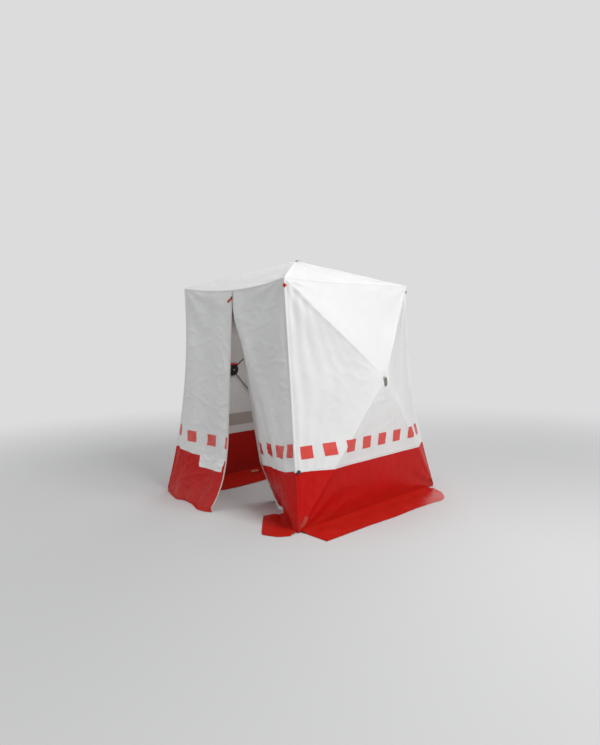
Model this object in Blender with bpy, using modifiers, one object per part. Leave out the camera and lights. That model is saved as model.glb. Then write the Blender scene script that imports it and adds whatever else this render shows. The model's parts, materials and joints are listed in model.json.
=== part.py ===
"""Pop-up welding tent: a sewn cloth cover over four hubs with sprung rods.

The cover is a roof, three walls and a pair of door panels, each wall white above a red band. Behind
the roof and each wall stands a hub with four rods that push the corners apart. Metres, +Z up. The
door faces -Y. The origin lies on the ground, in the middle of the whole outline.
"""

import math

import bmesh
import bpy
from mathutils import Matrix, Vector

# Cover
AXIS_X = -0.0735  # the tent's centre line, off the middle of the outline because of the right flap
FOOT_HALF = 0.900  # half the square that the walls stand on
EAVE_HALF_X = 0.672  # half the eave of the door wall, which no hub spreads
EAVE_HALF_Y = 0.788  # half the eave of a side wall
EAVE_HEIGHT = 1.905
ROOF_RISE = 0.231  # from the eaves to the top of the roof
WALL_POP = 0.245  # how far a hub pushes its wall out of the plane of its corners
HUB_HEIGHT = 1.072  # where the hub's line meets that plane
BAND_HEIGHT = 0.430  # top of the red band
HEM_HEIGHT = 0.004
CLOTH = 0.001
SEAM_HOLD = 0.0011  # cloth stops this far short of the line of its seam
BAND_GAP = 0.00015  # half the gap between white and red cloth
EDGE_PULL = 0.055  # how far the cloth's tension draws a corner seam in
EAVE_DROOP = 0.012
DOOR_EAVE_DROOP = 0.065
DOOR_EAVE_BOW = 0.032
FLAP_HEIGHT = 0.002  # mud flaps lie on the ground
RIGHT_FLAP = (0.030, 1.680, 0.270)  # ends of a flap, from the wall's left corner, and its width
LEFT_FLAP = (0.300, 1.650, 0.430)
BACK_FLAP = (0.300, 1.500, 0.270)

# Doors
LEFT_FOLD_HOLD = 0.00065  # a door panel's cloth stops this far short of the line it folds on
RIGHT_FOLD_HOLD = 0.0010
FOLD_START = 0.014  # and, at the ground, this far from the corner
DOOR_EDGE = 0.002  # a panel's free edge, from the middle of the shut doorway
DOOR_SLOPE = 0.068  # how far the shut doorway runs out for each metre down
LEFT_TURN = math.radians(9)  # how far the left panel's foot stands out of the doorway
LEFT_TURN_HEIGHT = 0.620
RIGHT_TURN = math.radians(27)  # how far the right panel is folded into the tent
RIGHT_FOOT_TURN = math.radians(6)  # and how much further at the ground
RIGHT_FOOT_HEIGHT = 0.350
DOOR_HEM = 0.008
RIGHT_DOOR_FLAP = (0.460, 0.215)  # how far a door's flap runs from the corner, and its width
LEFT_DOOR_FLAP = (0.760, 0.085)
RED_ROWS, WHITE_ROWS = 2, 5  # rows of facets below and above the label
DOOR_TOP = 0.030  # the cloth of a panel ends where it is this wide, and only tape goes on
TAPE_WIDTH = 0.022
TAPE_GAP = 0.0003

# Hubs
HUB_RADIUS = 0.060
HUB_TOP = 0.018  # from the hinge wire up to the hub's outer face
HUB_BOTTOM = 0.016  # and down to its inner face
DISC_MARGIN = 0.002  # the flat cloth round a hub is this much larger than the hub
GAP = 0.0003  # between pieces that touch
PIN_RADIUS = 0.038  # from the hub's line to the rods' hinges
WIRE = 0.004  # hinge wire's diameter
EYE_RADIUS = 0.008
EYE_WIDTH = 0.012
STUD_RADIUS = 0.005
WASHER_RADIUS = 0.021
WASHER_HEIGHT = 0.0065
LUG = 0.004
BAR_RADIUS = 0.002
BAR_RISE = 0.0120  # hub strap's bar above the foot of the washer
STRAP_WIDTH = 0.022
STRAP_LENGTH = 0.074
STRAP_THICKNESS = 0.0016
STRAP_REST = 0.00027283  # gap under the roof's strap at the rim of the flat cloth round the hub
GRIP_WIDTH = 0.072
GRIP_HEIGHT = 0.013
GRIP_DEPTH = 0.024
GRIP_DROP = 0.005  # middle of the grip below the hinge wire, clear of the cloth

# Rods and corners
ROD_RADIUS = 0.00475
FERRULE_RADIUS = 0.0055
FERRULE_LENGTH = 0.075
TIP_RADIUS = 0.0065
TIP_LENGTH = 0.040
CORNER_DEPTH = 0.030  # from a wall's plane to the middle of a corner fitting
ROOF_DEPTH = 0.028  # from the eaves' plane to the middle of an upper corner fitting
FRONT_FOOT_DEPTH = 0.075  # a front foot stands further in, clear of the door panel
FOOT_LIFT = 0.034  # height of the middle of a foot
TIP_REACH = 0.070  # from the middle of a corner fitting to a rod's tip
SOCKET_START = 0.033  # bottom of a socket, from the middle of its fitting
SOCKET_MOUTH = 0.092
SOCKET_CLEARANCE = 0.0005
SOCKET_SWING = 0.0068  # extra room for a rod's tilt
SOCKET_WALL = 0.0028
BALL_RADIUS = 0.019
FRONT_ARM_GAP = 0.0065  # from a corner of the cover to the end of the arm that fills it
BACK_ARM_GAP = 0.0078
FRONT_ARM_TURN = 0.0055  # a front arm points this far behind its corner, clear of the door panel
ARM_RADIUS = 0.006
FRONT_FOOT_RADIUS = 0.0326
BACK_FOOT_RADIUS = 0.0309
FOOT_THICKNESS = 0.008

# Zip and label
SLIDER_WIDTH = 0.014
SLIDER_HEIGHT = 0.026
SLIDER_THICKNESS = 0.006
SLIDER_DROP = 0.040  # slider's top below the top of the opening
SLIDER_STANDOFF = 0.0005
PULLER_LENGTH = 0.060
PULLER_NECK = 0.016  # straight part of the red pull tag, which then hangs slantwise
PULLER_SLANT = math.radians(58)
PULLER_WIDTH = 0.018
PULLER_THICKNESS = 0.002
LABEL_LEFT, LABEL_RIGHT = 0.385, 0.050  # label's sides, from the middle of the doorway
LABEL_DROP, LABEL_RISE = 0.130, 0.010  # and how far it runs below and above the joint of the cloths
LABEL_THICKNESS = 0.0006
LABEL_GAP = 0.0010

DISC_RADIUS = HUB_RADIUS + DISC_MARGIN
PIN_DEPTH = CLOTH + GAP + HUB_TOP  # from the top of the cloth on a hub down to its hinges
SIDE_CUTS = 6  # segments along one edge of a sheet
CONE_STEPS = (0.10, 0.45, 1.0)

WHITE = (0.86, 0.86, 0.85)
RED = (0.55, 0.012, 0.010)
BLACK = (0.02, 0.02, 0.022)


def wipe():
    for thing in list(bpy.data.objects):
        bpy.data.objects.remove(thing)


def collection(name):
    made = bpy.data.collections.new(name)
    bpy.context.scene.collection.children.link(made)
    return made


def material(name, color, roughness, metallic=0.0):
    made = bpy.data.materials.new(name)
    made.use_nodes = True
    shader = made.node_tree.nodes["Principled BSDF"]
    shader.inputs["Base Color"].default_value = (*color, 1)
    shader.inputs["Roughness"].default_value = roughness
    shader.inputs["Metallic"].default_value = metallic
    return made


# Lines of the cover


def foot(sx, sy):
    return Vector((sx * FOOT_HALF, sy * FOOT_HALF, 0))


def top(sx, sy):
    return Vector((sx * EAVE_HALF_X, sy * EAVE_HALF_Y, EAVE_HEIGHT))


def seam(sx, sy, t):
    """Corner seam from hem, t = 0, to eaves, t = 1."""
    base = foot(sx, sy) + Vector((0, 0, HEM_HEIGHT))
    inward = Vector((sx, sy, 0)) * (EDGE_PULL * 4 * t * (1 - t))
    return base.lerp(top(sx, sy), t) - inward


def eave(start, end, t, droop=EAVE_DROOP, bow=0.0):
    """Eave between two upper corners, hanging a little and bowed towards the tent's middle."""
    middle = (start + end) / 2
    inward = Vector((-middle.x, -middle.y, 0)).normalized()
    return start.lerp(end, t) + (inward * bow - Vector((0, 0, droop))) * (4 * t * (1 - t))


def door_eave(t):
    """Eave of the door wall from left to right."""
    return eave(top(-1, -1), top(1, -1), t, DOOR_EAVE_DROOP, DOOR_EAVE_BOW)


class Face:
    """A roof or wall that a hub holds out: four corners, seen from outside, from the lower left."""

    def __init__(self, name, signs, edges, pop, height=None, flap=None):
        self.name = name
        self.signs = signs
        self.edges = edges
        self.flap = flap
        self.door = None
        self.corners = [top(*s) if upper else foot(*s) for s, upper in signs]
        first, second, third, fourth = self.corners
        self.across = (second - first).normalized()
        self.normal = (second - first).cross(fourth - first).normalized()
        self.up = self.normal.cross(self.across)
        low, high = (first + second) / 2, (third + fourth) / 2
        share = 0.5 if height is None else height / EAVE_HEIGHT
        self.centre = low.lerp(high, share)
        self.peak = self.centre + self.normal * pop
        self.pin_depth = pop - PIN_DEPTH
        basis = Matrix((self.across, self.up, self.normal)).transposed().to_4x4()
        self.frame = Matrix.Translation(self.peak - self.normal * PIN_DEPTH) @ basis

    def flat(self, point):
        """Distance and direction from the hub's line, within the face's plane."""
        arm = point - self.centre
        arm = arm - self.normal * arm.dot(self.normal)
        return arm.length, arm.normalized()


def wall_edges(a, b):
    """The four edges of a wall between the corners a and b: hem, far seam, eave and near seam."""
    low, high = Vector((0, 0, HEM_HEIGHT)), (top(*a), top(*b))
    return (
        lambda t: (foot(*a) + low).lerp(foot(*b) + low, t),
        lambda t: seam(*b, t),
        lambda t: eave(high[1], high[0], t),
        lambda t: seam(*a, 1 - t),
    )


def wall_face(name, a, b, flap_sign, flap):
    """Wall between two corners. Its flap lies outwards (1) or inwards (-1)."""
    signs = ((a, False), (b, False), (b, True), (a, True))
    return Face(name, signs, wall_edges(a, b), WALL_POP, HUB_HEIGHT, (flap_sign, flap))


def roof_face():
    near, far = (1, -1), (1, 1)
    far_left, near_left = (-1, 1), (-1, -1)
    edges = (
        lambda t: eave(top(*near), top(*far), t),
        lambda t: eave(top(*far), top(*far_left), t),
        lambda t: eave(top(*far_left), top(*near_left), t),
        door_eave,
    )
    signs = tuple((s, True) for s in (near, far, far_left, near_left))
    return Face("roof", signs, edges, ROOF_RISE)


# Mesh helpers


def add_object(name, bm, parent, matrix, finish, group):
    mesh = bpy.data.meshes.new(name)
    bm.to_mesh(mesh)
    bm.free()
    made = bpy.data.objects.new(name, mesh)
    group.objects.link(made)
    made.parent = parent
    made.matrix_local = matrix
    if finish:
        mesh.materials.append(finish)
    return made


def guide(name, bm, parent, matrix):
    """A mesh that cuts or joins another one, and isn't a piece itself."""
    made = add_object(name, bm, parent, matrix, None, CUTTERS)
    made.hide_render = True
    made.display_type = "WIRE"
    return made


def boolean(piece, other, operation):
    step = piece.modifiers.new(other.name, "BOOLEAN")
    step.operation = operation
    step.solver = "EXACT"
    step.object = other
    return step


def box(bm, size, centre, turn=None):
    made = bmesh.ops.create_cube(bm, size=1.0)["verts"]
    place = Matrix.Translation(centre) @ (turn or Matrix()).to_4x4()
    bmesh.ops.transform(bm, matrix=place @ Matrix.Diagonal((*size, 1)), verts=made)
    return made


def rod_shape(bm, radius, length, axis, centre, sides=16):
    """Round bar about an axis through its centre."""
    made = bmesh.ops.create_cone(
        bm, cap_ends=True, segments=sides, radius1=radius, radius2=radius, depth=length
    )["verts"]
    turn = Vector((0, 0, 1)).rotation_difference(axis).to_matrix().to_4x4()
    bmesh.ops.transform(bm, matrix=Matrix.Translation(centre) @ turn, verts=made)
    return made


def turned(name, profile, steps, parent, matrix, finish):
    """Solid of revolution about Z. The profile runs down its outer side, from axis to axis."""
    bm = bmesh.new()
    points = [bm.verts.new((r, 0, z)) for r, z in profile]
    for a, b in zip(points, points[1:]):
        bm.edges.new((a, b))
    made = add_object(name, bm, parent, matrix, finish, PARTS)
    screw = made.modifiers.new("turn", "SCREW")
    screw.steps = screw.render_steps = steps
    screw.use_merge_vertices = True
    screw.merge_threshold = 0.00001
    screw.use_smooth_shade = True
    return made


def thicken(piece, thickness=CLOTH):
    """Cloth thickness on the inner side of a sheet."""
    step = piece.modifiers.new("cloth", "SOLIDIFY")
    step.thickness = thickness
    step.offset = -1
    step.use_even_offset = True


def strips(bm, rows, closed):
    """Faces between rows of points. Points that coincide become one corner."""
    grid = [[bm.verts.new(p) for p in row] for row in rows]
    for low, high in zip(grid, grid[1:]):
        count = len(low) if closed else len(low) - 1
        for i in range(count):
            j = (i + 1) % len(low)
            bm.faces.new((low[i], low[j], high[j], high[i]))
    bmesh.ops.remove_doubles(bm, verts=bm.verts, dist=0.00001)
    bm.normal_update()


def face_outwards(bm, direction):
    """Turn a sheet's faces so that most of them look along the direction."""
    if sum(f.normal.dot(direction) * f.calc_area() for f in bm.faces) < 0:
        bmesh.ops.reverse_faces(bm, faces=bm.faces)
    bm.normal_update()


# Cover


def edge_steps(flap_ends):
    """Places along an edge. A hem has one where its mud flap starts and one where it ends."""
    if not flap_ends:
        return [i / SIDE_CUTS for i in range(SIDE_CUTS)]
    start, end = (x / (2 * FOOT_HALF) for x in flap_ends[:2])
    inner = SIDE_CUTS - 2
    return [0.0] + [start + (end - start) * i / inner for i in range(inner + 1)]


def cone_rows(face):
    """Rows of points from the hub's hole to the face's edges, along straight rays of tight cloth."""
    hole = STUD_RADIUS + GAP
    rim, holds = [], []
    for number, edge in enumerate(face.edges):
        for t in edge_steps(face.flap[1] if face.flap and number == 0 else None):
            point = edge(t)
            inward = (face.peak - point).normalized()
            line = (edge(t + 0.01) - edge(t - 0.01)).normalized()
            if t == 0 and number % 2 == 0:
                line = face.edges[number - 1](1.0) - face.edges[number - 1](0.98)
                line.normalize()
            slant = (inward - line * inward.dot(line)).length
            joined = face.door and (point - seam(face.door.side, -1, point.z / EAVE_HEIGHT)).length < 0.01
            rim.append(point)
            holds.append(inward * (0 if joined else SEAM_HOLD / slant))
    held = [p + hold for p, hold in zip(rim, holds)]
    rays = [face.flat(p)[1] for p in held]
    hole_row = [face.peak + ray * hole for ray in rays]
    disc_row = [face.peak + ray * DISC_RADIUS for ray in rays]
    rows = [hole_row, disc_row]
    for share in CONE_STEPS:
        rows.append([a.lerp(b, share) for a, b in zip(disc_row, held)])
    return rows


def add_flap(bm, face):
    """Mud flap: the hem between its two ends is drawn out flat on the ground."""
    sign, (start, end, width) = face.flap
    start, end = start - FOOT_HALF - 0.002, end - FOOT_HALF + 0.002
    hem = [
        e
        for e in bm.edges
        if e.is_boundary
        and all(v.co.z < HEM_HEIGHT + 0.002 for v in e.verts)
        and all(start < (v.co - face.centre).dot(face.across) < end for v in e.verts)
    ]
    drawn = bmesh.ops.extrude_edge_only(bm, edges=hem)["geom"]
    outward = Vector((face.normal.x, face.normal.y, 0)).normalized() * sign
    for v in (g for g in drawn if isinstance(g, bmesh.types.BMVert)):
        v.co += outward * width
        v.co.z = FLAP_HEIGHT


def add_fixed_part(bm, door):
    """Carry a side wall's cloth round the front corner, as far as the door's fold."""
    rows = door.fixed_rows()
    grid = [[bm.verts.new(p) for p in row] for row in rows]
    for low, high in zip(grid, grid[1:]):
        for i in range(len(low) - 1):
            loop = (low[i], low[i + 1], high[i + 1], high[i])
            bm.faces.new(loop if door.side < 0 else reversed(loop))
    bmesh.ops.remove_doubles(bm, verts=bm.verts, dist=0.00001)
    bm.normal_update()


def cone_sheet(face, name, finish, part=None):
    """Tight cloth over a hub. Part is upper or lower for the cloth over or under the red band."""
    bm = bmesh.new()
    strips(bm, cone_rows(face), closed=True)
    face_outwards(bm, face.normal)
    if face.door:
        add_fixed_part(bm, face.door)
    if part:
        upper = part == "upper"
        level = BAND_HEIGHT + (BAND_GAP if upper else -BAND_GAP)
        bmesh.ops.bisect_plane(
            bm,
            geom=bm.verts[:] + bm.edges[:] + bm.faces[:],
            dist=0.00001,
            plane_co=(0, 0, level),
            plane_no=(0, 0, 1),
            clear_inner=upper,
            clear_outer=not upper,
        )
        if not upper:
            add_flap(bm, face)
    piece = add_object(name, bm, TENT, Matrix(), finish, PARTS)
    thicken(piece)
    return piece


def cover():
    cone_sheet(ROOF, "roof_panel", WHITE_CLOTH)
    for face in WALLS:
        cone_sheet(face, f"{face.name}_wall_white", WHITE_CLOTH, "upper")
        cone_sheet(face, f"{face.name}_wall_red", RED_CLOTH, "lower")


# Doors


class Door:
    """A panel of the door wall. side is -1 left, 1 right.

    The cloth next to the eave and the corner seam stays put, with the wall beside it. The rest folds
    about a straight line from the foot of the corner to the top of the zip.
    """

    def __init__(self, name, side):
        self.name, self.side = name, side
        self.pivot = foot(side, -1) + Vector((0, 0, HEM_HEIGHT))
        self.crown = self.closed_edge(1)
        self.axis = (self.crown - self.pivot).normalized()
        self.hold = LEFT_FOLD_HOLD if side < 0 else RIGHT_FOLD_HOLD
        self.flap = LEFT_DOOR_FLAP if side < 0 else RIGHT_DOOR_FLAP
        heights = (BAND_HEIGHT - LABEL_DROP, BAND_HEIGHT, BAND_HEIGHT + LABEL_RISE)
        low, band, high = (h / self.crown.z for h in heights)
        end = 1 - DOOR_TOP / FOOT_HALF
        self.red_rows = [low * i / RED_ROWS for i in range(RED_ROWS + 1)] + [band]
        rest = [high + (end - high) * i / WHITE_ROWS for i in range(WHITE_ROWS + 1)]
        self.white_rows = [band] + rest

    def closed_edge(self, v):
        """Free edge of the shut panel: near the middle of the doorway, from hem to eave."""
        high = door_eave(0.5)
        drop = (high.z - DOOR_HEM) * (1 - v)
        return high + Vector((self.side * DOOR_EDGE, -DOOR_SLOPE * drop, -drop))

    def free_edge(self, v):
        """Free edge as it hangs, with each point turned about the fold."""
        point = self.closed_edge(v)
        if self.side < 0:
            angle = -LEFT_TURN * max(0.0, 1 - point.z / LEFT_TURN_HEIGHT) ** 2
        else:
            angle = -RIGHT_TURN - RIGHT_FOOT_TURN * max(0.0, 1 - point.z / RIGHT_FOOT_HEIGHT)
        return self.pivot + Matrix.Rotation(angle, 3, self.axis) @ (point - self.pivot)

    def point(self, u, v):
        """Point of the folding part, u from fold to free edge and v from hem to crown."""
        return self.pivot.lerp(self.crown, v).lerp(self.free_edge(v), u)

    def width(self, v):
        return (self.free_edge(v) - self.pivot.lerp(self.crown, v)).length

    def fixed_point(self, u, v):
        """Point of the part that stays, u from corner seam to fold and v from hem to eave."""
        near, far = seam(self.side, -1, v), self.pivot.lerp(self.crown, v)
        half = 0.5 + self.side * 0.5 * (1 - u * (1 - DOOR_EDGE / EAVE_HALF_X))
        straight = top(self.side, -1).lerp(self.crown, u)
        return near.lerp(far, u) + (door_eave(half) - straight) * v

    def fixed_rows(self):
        """Rows of the part that stays, on the same points of the corner seam as the wall's."""
        rows = []
        for i in range(SIDE_CUTS + 1):
            v = i / SIDE_CUTS
            width = (self.pivot.lerp(self.crown, v) - seam(self.side, -1, v)).length
            end = 1 - min(1, self.hold / width) if i else 1
            rows.append([self.fixed_point(end * j / 3, v) for j in range(4)])
        rows[-1] = [rows[-1][0]] + [p - Vector((0, 0, SEAM_HOLD)) for p in rows[-1][1:]]
        return rows


def door_sheet(door, name, finish, u_range, u_steps, rows, outset=0.0, thickness=CLOTH):
    """Sheet on a door panel. u_range gives its two sides at a height, rows its heights."""
    bm = bmesh.new()
    points = []
    for v in rows:
        near, far = u_range(door, v)
        points.append([door.point(near + (far - near) * step, v) for step in u_steps])
    strips(bm, points, closed=False)
    face_outwards(bm, Vector((0, -1, 0)))
    for v, normal in [(v, v.normal.copy()) for v in bm.verts]:
        v.co += normal * outset
    piece = add_object(name, bm, TENT, Matrix(), finish, PARTS)
    thicken(piece, thickness)
    return piece


def door_flap(piece, door):
    """Mud flap from a door's corner along its hem, on the ground in front of the tent."""
    bm = bmesh.new()
    bm.from_mesh(piece.data)
    reach = door.flap[0] + 0.010
    hem = [
        e
        for e in bm.edges
        if e.is_boundary
        and all(v.co.z < 0.060 and (v.co - door.pivot).length < reach for v in e.verts)
    ]
    drawn = bmesh.ops.extrude_edge_only(bm, edges=hem)["geom"]
    line = door.point(1, 0) - door.pivot
    direction = Vector((line.y, -line.x, 0)).normalized() * door.side * -1
    for v in (g for g in drawn if isinstance(g, bmesh.types.BMVert)):
        v.co += direction * door.flap[1]
        v.co.z = FLAP_HEIGHT
    bm.to_mesh(piece.data)
    bm.free()


def cloth_range(door, v):
    """Where a folding panel's cloth starts and ends, as shares of its width."""
    start = door.hold if v else FOLD_START
    return start / door.width(v), 1 - (TAPE_WIDTH + TAPE_GAP) / door.width(v)


def tape_range(door, v):
    """The zip tape runs along the free edge, and narrows with the panel at the top."""
    return 1 - min(TAPE_WIDTH, door.width(v) - door.hold) / door.width(v), 1.0


def label_range(door, v):
    return 1 - LABEL_LEFT / door.width(v), 1 - LABEL_RIGHT / door.width(v)


def doors():
    for door in DOORS:
        lower, upper = list(door.red_rows), list(door.white_rows)
        tape_rows = lower[:-1] + upper + [1 - 0.004 / FOOT_HALF]
        upper[0] += BAND_GAP / EAVE_HEIGHT
        lower[-1] -= BAND_GAP / EAVE_HEIGHT
        end = door.flap[0] / door.width(0)
        steps = (0, 0.27, end, 0.76, 1) if end < 0.7 else (0, 0.27, 0.54, end, 1)
        red = door_sheet(door, f"{door.name}_door_red", RED_CLOTH, cloth_range, steps, lower)
        door_flap(red, door)
        white = f"{door.name}_door_white"
        door_sheet(door, white, WHITE_CLOTH, cloth_range, steps, upper)
        door_sheet(door, f"{door.name}_zip_tape", TAPE_CLOTH, tape_range, (0, 1), tape_rows)
    left = DOORS[0]
    rows = [left.red_rows[-2], left.red_rows[-1], left.white_rows[1]]
    raised = LABEL_GAP + LABEL_THICKNESS
    steps = (0, 0.5, 1)
    door_sheet(left, "label_patch", LABEL_CLOTH, label_range, steps, rows, raised, LABEL_THICKNESS)


# Hubs and rods


def corner_middle(sign, upper):
    """Middle of a corner fitting, at set depths behind the planes that meet at its corner."""
    side = SIDES[sign[0]]
    front_or_back = FRONT_NORMAL if sign[1] < 0 else BACK.normal
    depth = CORNER_DEPTH if upper or sign[1] > 0 else FRONT_FOOT_DEPTH
    corner = top(*sign) if upper else foot(*sign)
    level = EAVE_HEIGHT - ROOF_DEPTH if upper else FOOT_LIFT
    rows = Matrix((side.normal, front_or_back, Vector((0, 0, 1))))
    values = Vector(
        (
            side.normal.dot(corner) - CORNER_DEPTH,
            front_or_back.dot(corner) - depth,
            level,
        )
    )
    return rows.inverted() @ values


def rod_line(face, sign, upper):
    """Hinge point, tip and tilt of the rod that runs from a face's hub to one of its corners."""
    middle = corner_middle(sign, upper)
    _, outward = face.flat(middle)
    tip = middle - outward * TIP_REACH
    pin = face.frame.translation + outward * PIN_RADIUS
    tilt = math.asin((pin - tip).dot(face.normal) / (pin - tip).length)
    return pin, tip, outward, tilt


def wire_corners(face):
    """Corners of the hinge wire: its sides cross the four rods squarely at the hinge radius."""
    arms = sorted(
        (
            (arm.dot(face.across), arm.dot(face.up))
            for arm in (rod_line(face, s, upper)[2] for s, upper in face.signs)
        ),
        key=lambda a: math.atan2(a[1], a[0]),
    )
    points = []
    for (ax, ay), (bx, by) in zip(arms, arms[1:] + arms[:1]):
        det = ax * by - ay * bx
        points.append(Vector((PIN_RADIUS * (by - ay) / det, PIN_RADIUS * (ax - bx) / det, 0)))
    return points


def rounded_loop(corners, radius, steps=3):
    """Closed outline with its corners rounded by arcs."""
    outline = []
    for i, corner in enumerate(corners):
        before = (corners[i - 1] - corner).normalized()
        after = (corners[(i + 1) % len(corners)] - corner).normalized()
        half = before.angle(after) / 2
        centre = corner + (before + after).normalized() * (radius / math.sin(half))
        start = corner + before * (radius / math.tan(half)) - centre
        end = corner + after * (radius / math.tan(half)) - centre
        turn = start.angle(end)
        sense = 1 if start.cross(end).z > 0 else -1
        for k in range(steps + 1):
            outline.append(centre + Matrix.Rotation(sense * turn * k / steps, 3, "Z") @ start)
    return outline


def wire_curve(name, outline, radius, parent, matrix, group, finish=None):
    data = bpy.data.curves.new(name, "CURVE")
    data.dimensions = "3D"
    data.bevel_depth = radius
    data.bevel_resolution = 1
    data.use_fill_caps = True
    line = data.splines.new("POLY")
    line.points.add(len(outline) - 1)
    for point, place in zip(line.points, outline):
        point.co = (*place, 1)
    line.use_cyclic_u = True
    made = bpy.data.objects.new(name, data)
    group.objects.link(made)
    made.parent = parent
    made.matrix_local = matrix
    if finish:
        data.materials.append(finish)
    return made


def groove_guide(name, outline, centre_line_gap, parent, matrix):
    """Ring-shaped cutter: the wire's path, wide enough for it, and open at the hub's inner face."""
    half = WIRE / 2 + centre_line_gap
    count = len(outline)
    loops = []
    for shift, level in ((half, half), (-half, half), (-half, -0.05), (half, -0.05)):
        loop = []
        for i, point in enumerate(outline):
            ahead = (outline[(i + 1) % count] - outline[i - 1]).normalized()
            side = Vector((ahead.y, -ahead.x, 0))
            loop.append(point + side * shift + Vector((0, 0, level)))
        loops.append(loop)
    bm = bmesh.new()
    strips(bm, loops + [loops[0]], closed=True)
    bmesh.ops.recalc_face_normals(bm, faces=bm.faces)
    return guide(name, bm, parent, matrix)


def hub_body(face, empty):
    rim = 0.003
    profile = (
        (0, HUB_TOP + 0.0075),
        (STUD_RADIUS, HUB_TOP + 0.0075),
        (STUD_RADIUS, HUB_TOP),
        (HUB_RADIUS - rim, HUB_TOP),
        (HUB_RADIUS, HUB_TOP - rim),
        (HUB_RADIUS, -HUB_BOTTOM + rim),
        (HUB_RADIUS - rim, -HUB_BOTTOM),
        (0.016, -HUB_BOTTOM),
        (0.014, -HUB_BOTTOM + 0.004),
        (0.008, -HUB_BOTTOM + 0.004),
        (0.008, -HUB_BOTTOM - 0.002),
        (0, -HUB_BOTTOM - 0.002),
    )
    body = turned(f"{face.name}_hub", profile, 20, empty, Matrix(), HUB_BLACK)
    slots = bmesh.new()
    floor = HUB_TOP - 0.0045
    slot_start = PIN_RADIUS - EYE_RADIUS - 0.0012
    length = HUB_RADIUS - slot_start + 0.010
    for sign, upper in face.signs:
        arm = rod_line(face, sign, upper)[2]
        angle = math.atan2(arm.dot(face.up), arm.dot(face.across))
        turn = Matrix.Rotation(angle, 4, "Z")
        height = floor + HUB_BOTTOM + 0.010
        centre = turn @ Vector((slot_start + length / 2, 0, floor - height / 2))
        box(slots, (length, EYE_WIDTH + 2 * GAP, height), centre, turn)
    slot_guide = guide(f"{face.name}_hub_slots", slots, empty, Matrix())
    outline = rounded_loop(wire_corners(face), 0.010)
    groove = groove_guide(f"{face.name}_hub_groove", outline, GAP, empty, Matrix())
    boolean(body, slot_guide, "DIFFERENCE")
    boolean(body, groove, "DIFFERENCE")
    wire_curve(f"{face.name}_hinge_wire", outline, WIRE / 2, empty, Matrix(), PARTS, STEEL)


def hub_washer(face, empty):
    """Domed washer on the outside of the cloth, with a bar for the pull strap."""
    seat = PIN_DEPTH + GAP
    rise = WASHER_HEIGHT
    bore = STUD_RADIUS + GAP
    blind = HUB_TOP + 0.0075 + GAP - seat
    profile = (
        (0, rise),
        (WASHER_RADIUS * 0.45, rise - 0.0004),
        (WASHER_RADIUS * 0.85, rise - 0.0022),
        (WASHER_RADIUS, rise - 0.0042),
        (WASHER_RADIUS, 0),
        (bore, 0),
        (bore, blind),
        (0, blind),
    )
    place = Matrix.Translation((0, 0, seat))
    washer = turned(f"{face.name}_hub_washer", profile, 20, empty, place, WASHER_GREY)
    yoke = bmesh.new()
    half = STRAP_WIDTH / 2 + 2 * GAP
    lug_height = BAR_RISE + BAR_RADIUS + 0.001 - 0.001
    for side in (-1, 1):
        centre = (side * (half + LUG / 2), 0, 0.001 + lug_height / 2)
        box(yoke, (LUG, 0.007, lug_height), centre)
    lugs = guide(f"{face.name}_washer_lugs", yoke, empty, place)
    bar = bmesh.new()
    rod_shape(bar, BAR_RADIUS, 2 * half + LUG, Vector((1, 0, 0)), (0, 0, BAR_RISE), 10)
    bar_guide = guide(f"{face.name}_washer_bar", bar, empty, place)
    boolean(washer, lugs, "UNION")
    boolean(washer, bar_guide, "UNION")


def roof_strap_droop():
    """Angle at which the roof's strap lies down to the rim of the flat cloth round the hub, or to its
    own end if that comes first."""
    height, out = BAR_RISE - STRAP_REST, min(DISC_RADIUS, STRAP_LENGTH - STRAP_THICKNESS)
    return -math.atan2(height, out) - math.asin((BAR_RADIUS + GAP) / math.hypot(out, height))


def hub_strap(face, empty):
    """Webbing pull strap that hangs from the washer's bar."""
    place = Matrix.Translation((0, 0, PIN_DEPTH + GAP + BAR_RISE))
    down = face.frame.to_3x3().inverted() @ Vector((0, 0, -1))
    if face is ROOF:
        droop = roof_strap_droop()
    else:
        droop = math.atan2(down.z, -down.y)
    place = place @ Matrix.Rotation(-droop, 4, "X")
    outer = BAR_RADIUS + GAP + STRAP_THICKNESS
    bm = bmesh.new()
    rod_shape(bm, outer, STRAP_WIDTH, Vector((1, 0, 0)), (0, 0, 0), 14)
    strap = add_object(f"{face.name}_pull_strap", bm, empty, place, WEBBING, PARTS)
    tail = bmesh.new()
    start = BAR_RADIUS + GAP + STRAP_THICKNESS / 2
    length = STRAP_LENGTH - start
    level = outer - STRAP_THICKNESS / 2 - 0.0002
    box(tail, (STRAP_WIDTH - 0.0004, length, STRAP_THICKNESS), (0, -length / 2, level))
    tail_guide = guide(f"{face.name}_strap_tail", tail, empty, place)
    bore = bmesh.new()
    rod_shape(bore, BAR_RADIUS + GAP, STRAP_WIDTH * 1.5, Vector((1, 0, 0)), (0, 0, 0), 14)
    bore_guide = guide(f"{face.name}_strap_bore", bore, empty, place)
    boolean(strap, tail_guide, "UNION")
    boolean(strap, bore_guide, "DIFFERENCE")


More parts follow.
